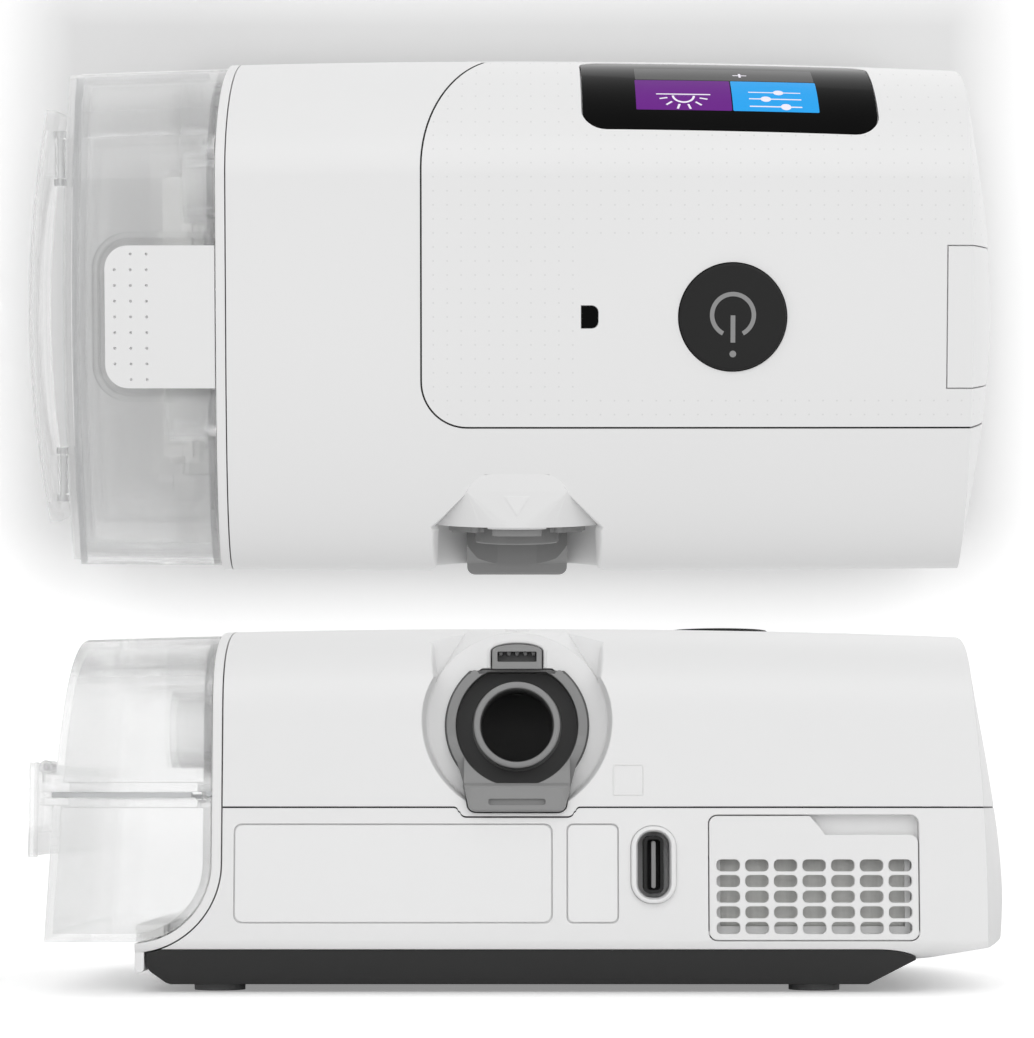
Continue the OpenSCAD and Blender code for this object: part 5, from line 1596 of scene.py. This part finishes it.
class Stage(Operator):
    """Sets the floor, the soft light and the second view from above"""

    bl_idname = "bilevel.stage"
    bl_label = "Stage"

    eye = Vector((0.0, 0.86, 0.0465))
    pitch = math.radians(5.23)
    top_pitch = math.radians(8.908)  # the way to the middle of the picture's upper view
    top_distance = 0.895  # from the eye to the surface that the upper view lies on
    top_scale = 20.0  # size and distance of the upper view, which cancel in the picture
    world_light = 0.64
    suns = (("key_sun", (-0.03, 0.86, 0.35), 0.865), ("fill_sun", (-0.5, -0.7, 0.5), 0.3))
    sun_angle = math.radians(60)

    def execute(self, context):
        scene = context.scene
        scene.view_settings.view_transform = "Standard"
        self.light(scene)
        floor = self.plane("floor", 7.0, Matrix.Identity(4))
        # Less glow near the machine paints a darker contact shadow on the floor
        paper = self.paper("floor_paper", 0.28, 0.46, middle=(0, 0), half=(0.1, 0.07), reach=0.025)
        floor.data.materials.append(paper)
        self.upper_view(scene)
        return {"FINISHED"}

    def light(self, scene):
        """Even white light that looks pure white itself, with a soft sun from behind and one from ahead."""
        world = bpy.data.worlds.new("studio")
        scene.world = world
        world.use_nodes = True
        nodes = Nodes(world.node_tree)
        path = nodes.add("ShaderNodeLightPath").outputs
        through = nodes.math("MAXIMUM", path["Is Glossy Ray"], path["Is Transmission Ray"])
        seen = nodes.math("MAXIMUM", path["Is Camera Ray"], through)
        nodes.feed(world.node_tree.nodes["Background"], {
            "Strength": nodes.between(seen, self.world_light, 1.0), "Color": (1, 1, 1, 1)})
        for name, way, strength in self.suns:
            lamp = bpy.data.lights.new(name, "SUN")
            lamp.energy, lamp.angle = strength, self.sun_angle
            item = linked(name, lamp)
            item.rotation_mode = "QUATERNION"
            item.rotation_quaternion = Vector(way).to_track_quat("Z", "Y")
            item.location = Vector(way)

    def paper(self, name, near, far, middle, half, reach):
        """White paper with a glow that grows from near to far outside a box round the machine.

        So the far paper is white, the machine's real soft shadow stays, and the weaker glow near the box
        paints a soft shadow round it.
        """
        finish = Finish(name)
        finish.dressed(finish.shades(finish.noise(3.0), (0.86, 0.86, 0.86), (0.88, 0.88, 0.88)), 1.0,
                       Specular_IOR_Level=0.0)
        path = finish.add("ShaderNodeLightPath").outputs
        seen = finish.math("MAXIMUM", path["Is Camera Ray"], path["Is Transmission Ray"])
        gaps = []
        for at, centre, size in zip(finish.along(), middle, half):
            gap = finish.math("ABSOLUTE", finish.math("SUBTRACT", at, centre))
            gap = finish.math("MAXIMUM", finish.math("SUBTRACT", gap, size), 0.0)
            gaps.append(finish.math("MULTIPLY", gap, gap))
        distance = finish.math("SQRT", finish.math("ADD", *gaps))
        glow = finish.math("MULTIPLY", seen, finish.between(distance, near, far, 0.0, reach))
        glowing = finish.add("ShaderNodeEmission", {"Strength": glow})
        both = finish.add("ShaderNodeAddShader", {0: finish.shader.outputs[0], 1: glowing.outputs[0]})
        finish.feed(finish.tree.nodes["Material Output"], {"Surface": both.outputs[0]})
        return finish.material

    def plane(self, name, half, place):
        """Square sheet of the stage."""
        mesh = bpy.data.meshes.new(name)
        corners = [(-half, -half, 0), (half, -half, 0), (half, half, 0), (-half, half, 0)]
        mesh.from_pydata(corners, [], [(0, 1, 2, 3)])
        item = linked(name, mesh)
        item.matrix_world = place
        item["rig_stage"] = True
        return item

    def upper_view(self, scene):
        """The same machine seen from above: an instance of every part, far off behind the first."""
        way = Vector((0, -math.cos(self.top_pitch), math.sin(self.top_pitch)))
        up = Vector((0, math.sin(self.top_pitch), math.cos(self.top_pitch)))
        place = (Matrix.Translation(self.eye + way * self.top_distance * self.top_scale)
                 @ Matrix(((1, 0, 0), (0, -up.y, -way.y), (0, -up.z, -way.z))).to_4x4()
                 @ Matrix.Scale(self.top_scale, 4))
        parts = bpy.data.collections.new("machine_parts")
        for item in scene.objects:
            if item.type == "MESH" and not item.get("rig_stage") and not item.hide_render:
                parts.objects.link(item)
        view = linked("upper_view", None)
        view.instance_type, view.instance_collection = "COLLECTION", parts
        view.matrix_world = place
        view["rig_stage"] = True
        sheet = self.plane("upper_backdrop", 0.7, place)
        # Less glow round the machine, with the box a little off its middle, paints a soft shadow halo on the
        # backdrop
        paper = self.paper("backdrop_paper", 0.0, 0.5, middle=(0.0015, -0.015), half=(0.1235, 0.067),
                           reach=0.038)
        sheet.data.materials.append(paper)
        sheet.visible_glossy = False


def set_camera(scene):
    """Camera behind the machine, looking slightly up, so that the machine stands low in the picture."""
    data = bpy.data.cameras.new("camera")
    data.lens, data.sensor_width, data.sensor_fit = 109.0, 36.0, "AUTO"
    data.clip_start, data.clip_end = 0.01, 60.0
    camera = linked("camera", data)
    camera.location = Stage.eye
    camera.rotation_euler = (math.pi / 2 + Stage.pitch, 0, math.pi)
    scene.camera = camera


OPERATORS = (Finishes, UpperCase, LowerCase, BaseTray, DockFrame, TopPanel, Screen, StartButton, SideCover,
             TubBase, TubLid, LatchTab, TubClip, Outlet, FilterDoor, SilencerFoam, PowerInlet, Stage)


class BilevelPanel(Panel):
    """Lists the machine's pieces, sizes and colours in the sidebar"""

    bl_idname = "VIEW3D_PT_bilevel"
    bl_label = "Bilevel machine"
    bl_space_type = "VIEW_3D"
    bl_region_type = "UI"
    bl_category = "Bilevel machine"

    def draw(self, context):
        column = self.layout.column(align=True)
        for operator in OPERATORS:
            column.operator(operator.bl_idname)
        for name, kind in (*SIZE_GROUPS.items(), ("bilevel_colours", FinishColours)):
            box = self.layout.box()
            for field in kind.__annotations__:
                box.prop(getattr(context.scene, name), field)


CLASSES = (*SIZE_GROUPS.values(), FinishColours, *OPERATORS, BilevelPanel)


def register():
    for item in CLASSES:
        bpy.utils.register_class(item)
    for name, kind in (*SIZE_GROUPS.items(), ("bilevel_colours", FinishColours)):
        setattr(bpy.types.Scene, name, PointerProperty(type=kind))


def unregister():
    for name in (*SIZE_GROUPS, "bilevel_colours"):
        delattr(bpy.types.Scene, name)
    for item in reversed(CLASSES):
        bpy.utils.unregister_class(item)


def main():
    register()
    set_camera(bpy.context.scene)
    for operator in OPERATORS:
        group, name = operator.bl_idname.split(".")
        getattr(getattr(bpy.ops, group), name)()


if __name__ == "__main__":
    main()
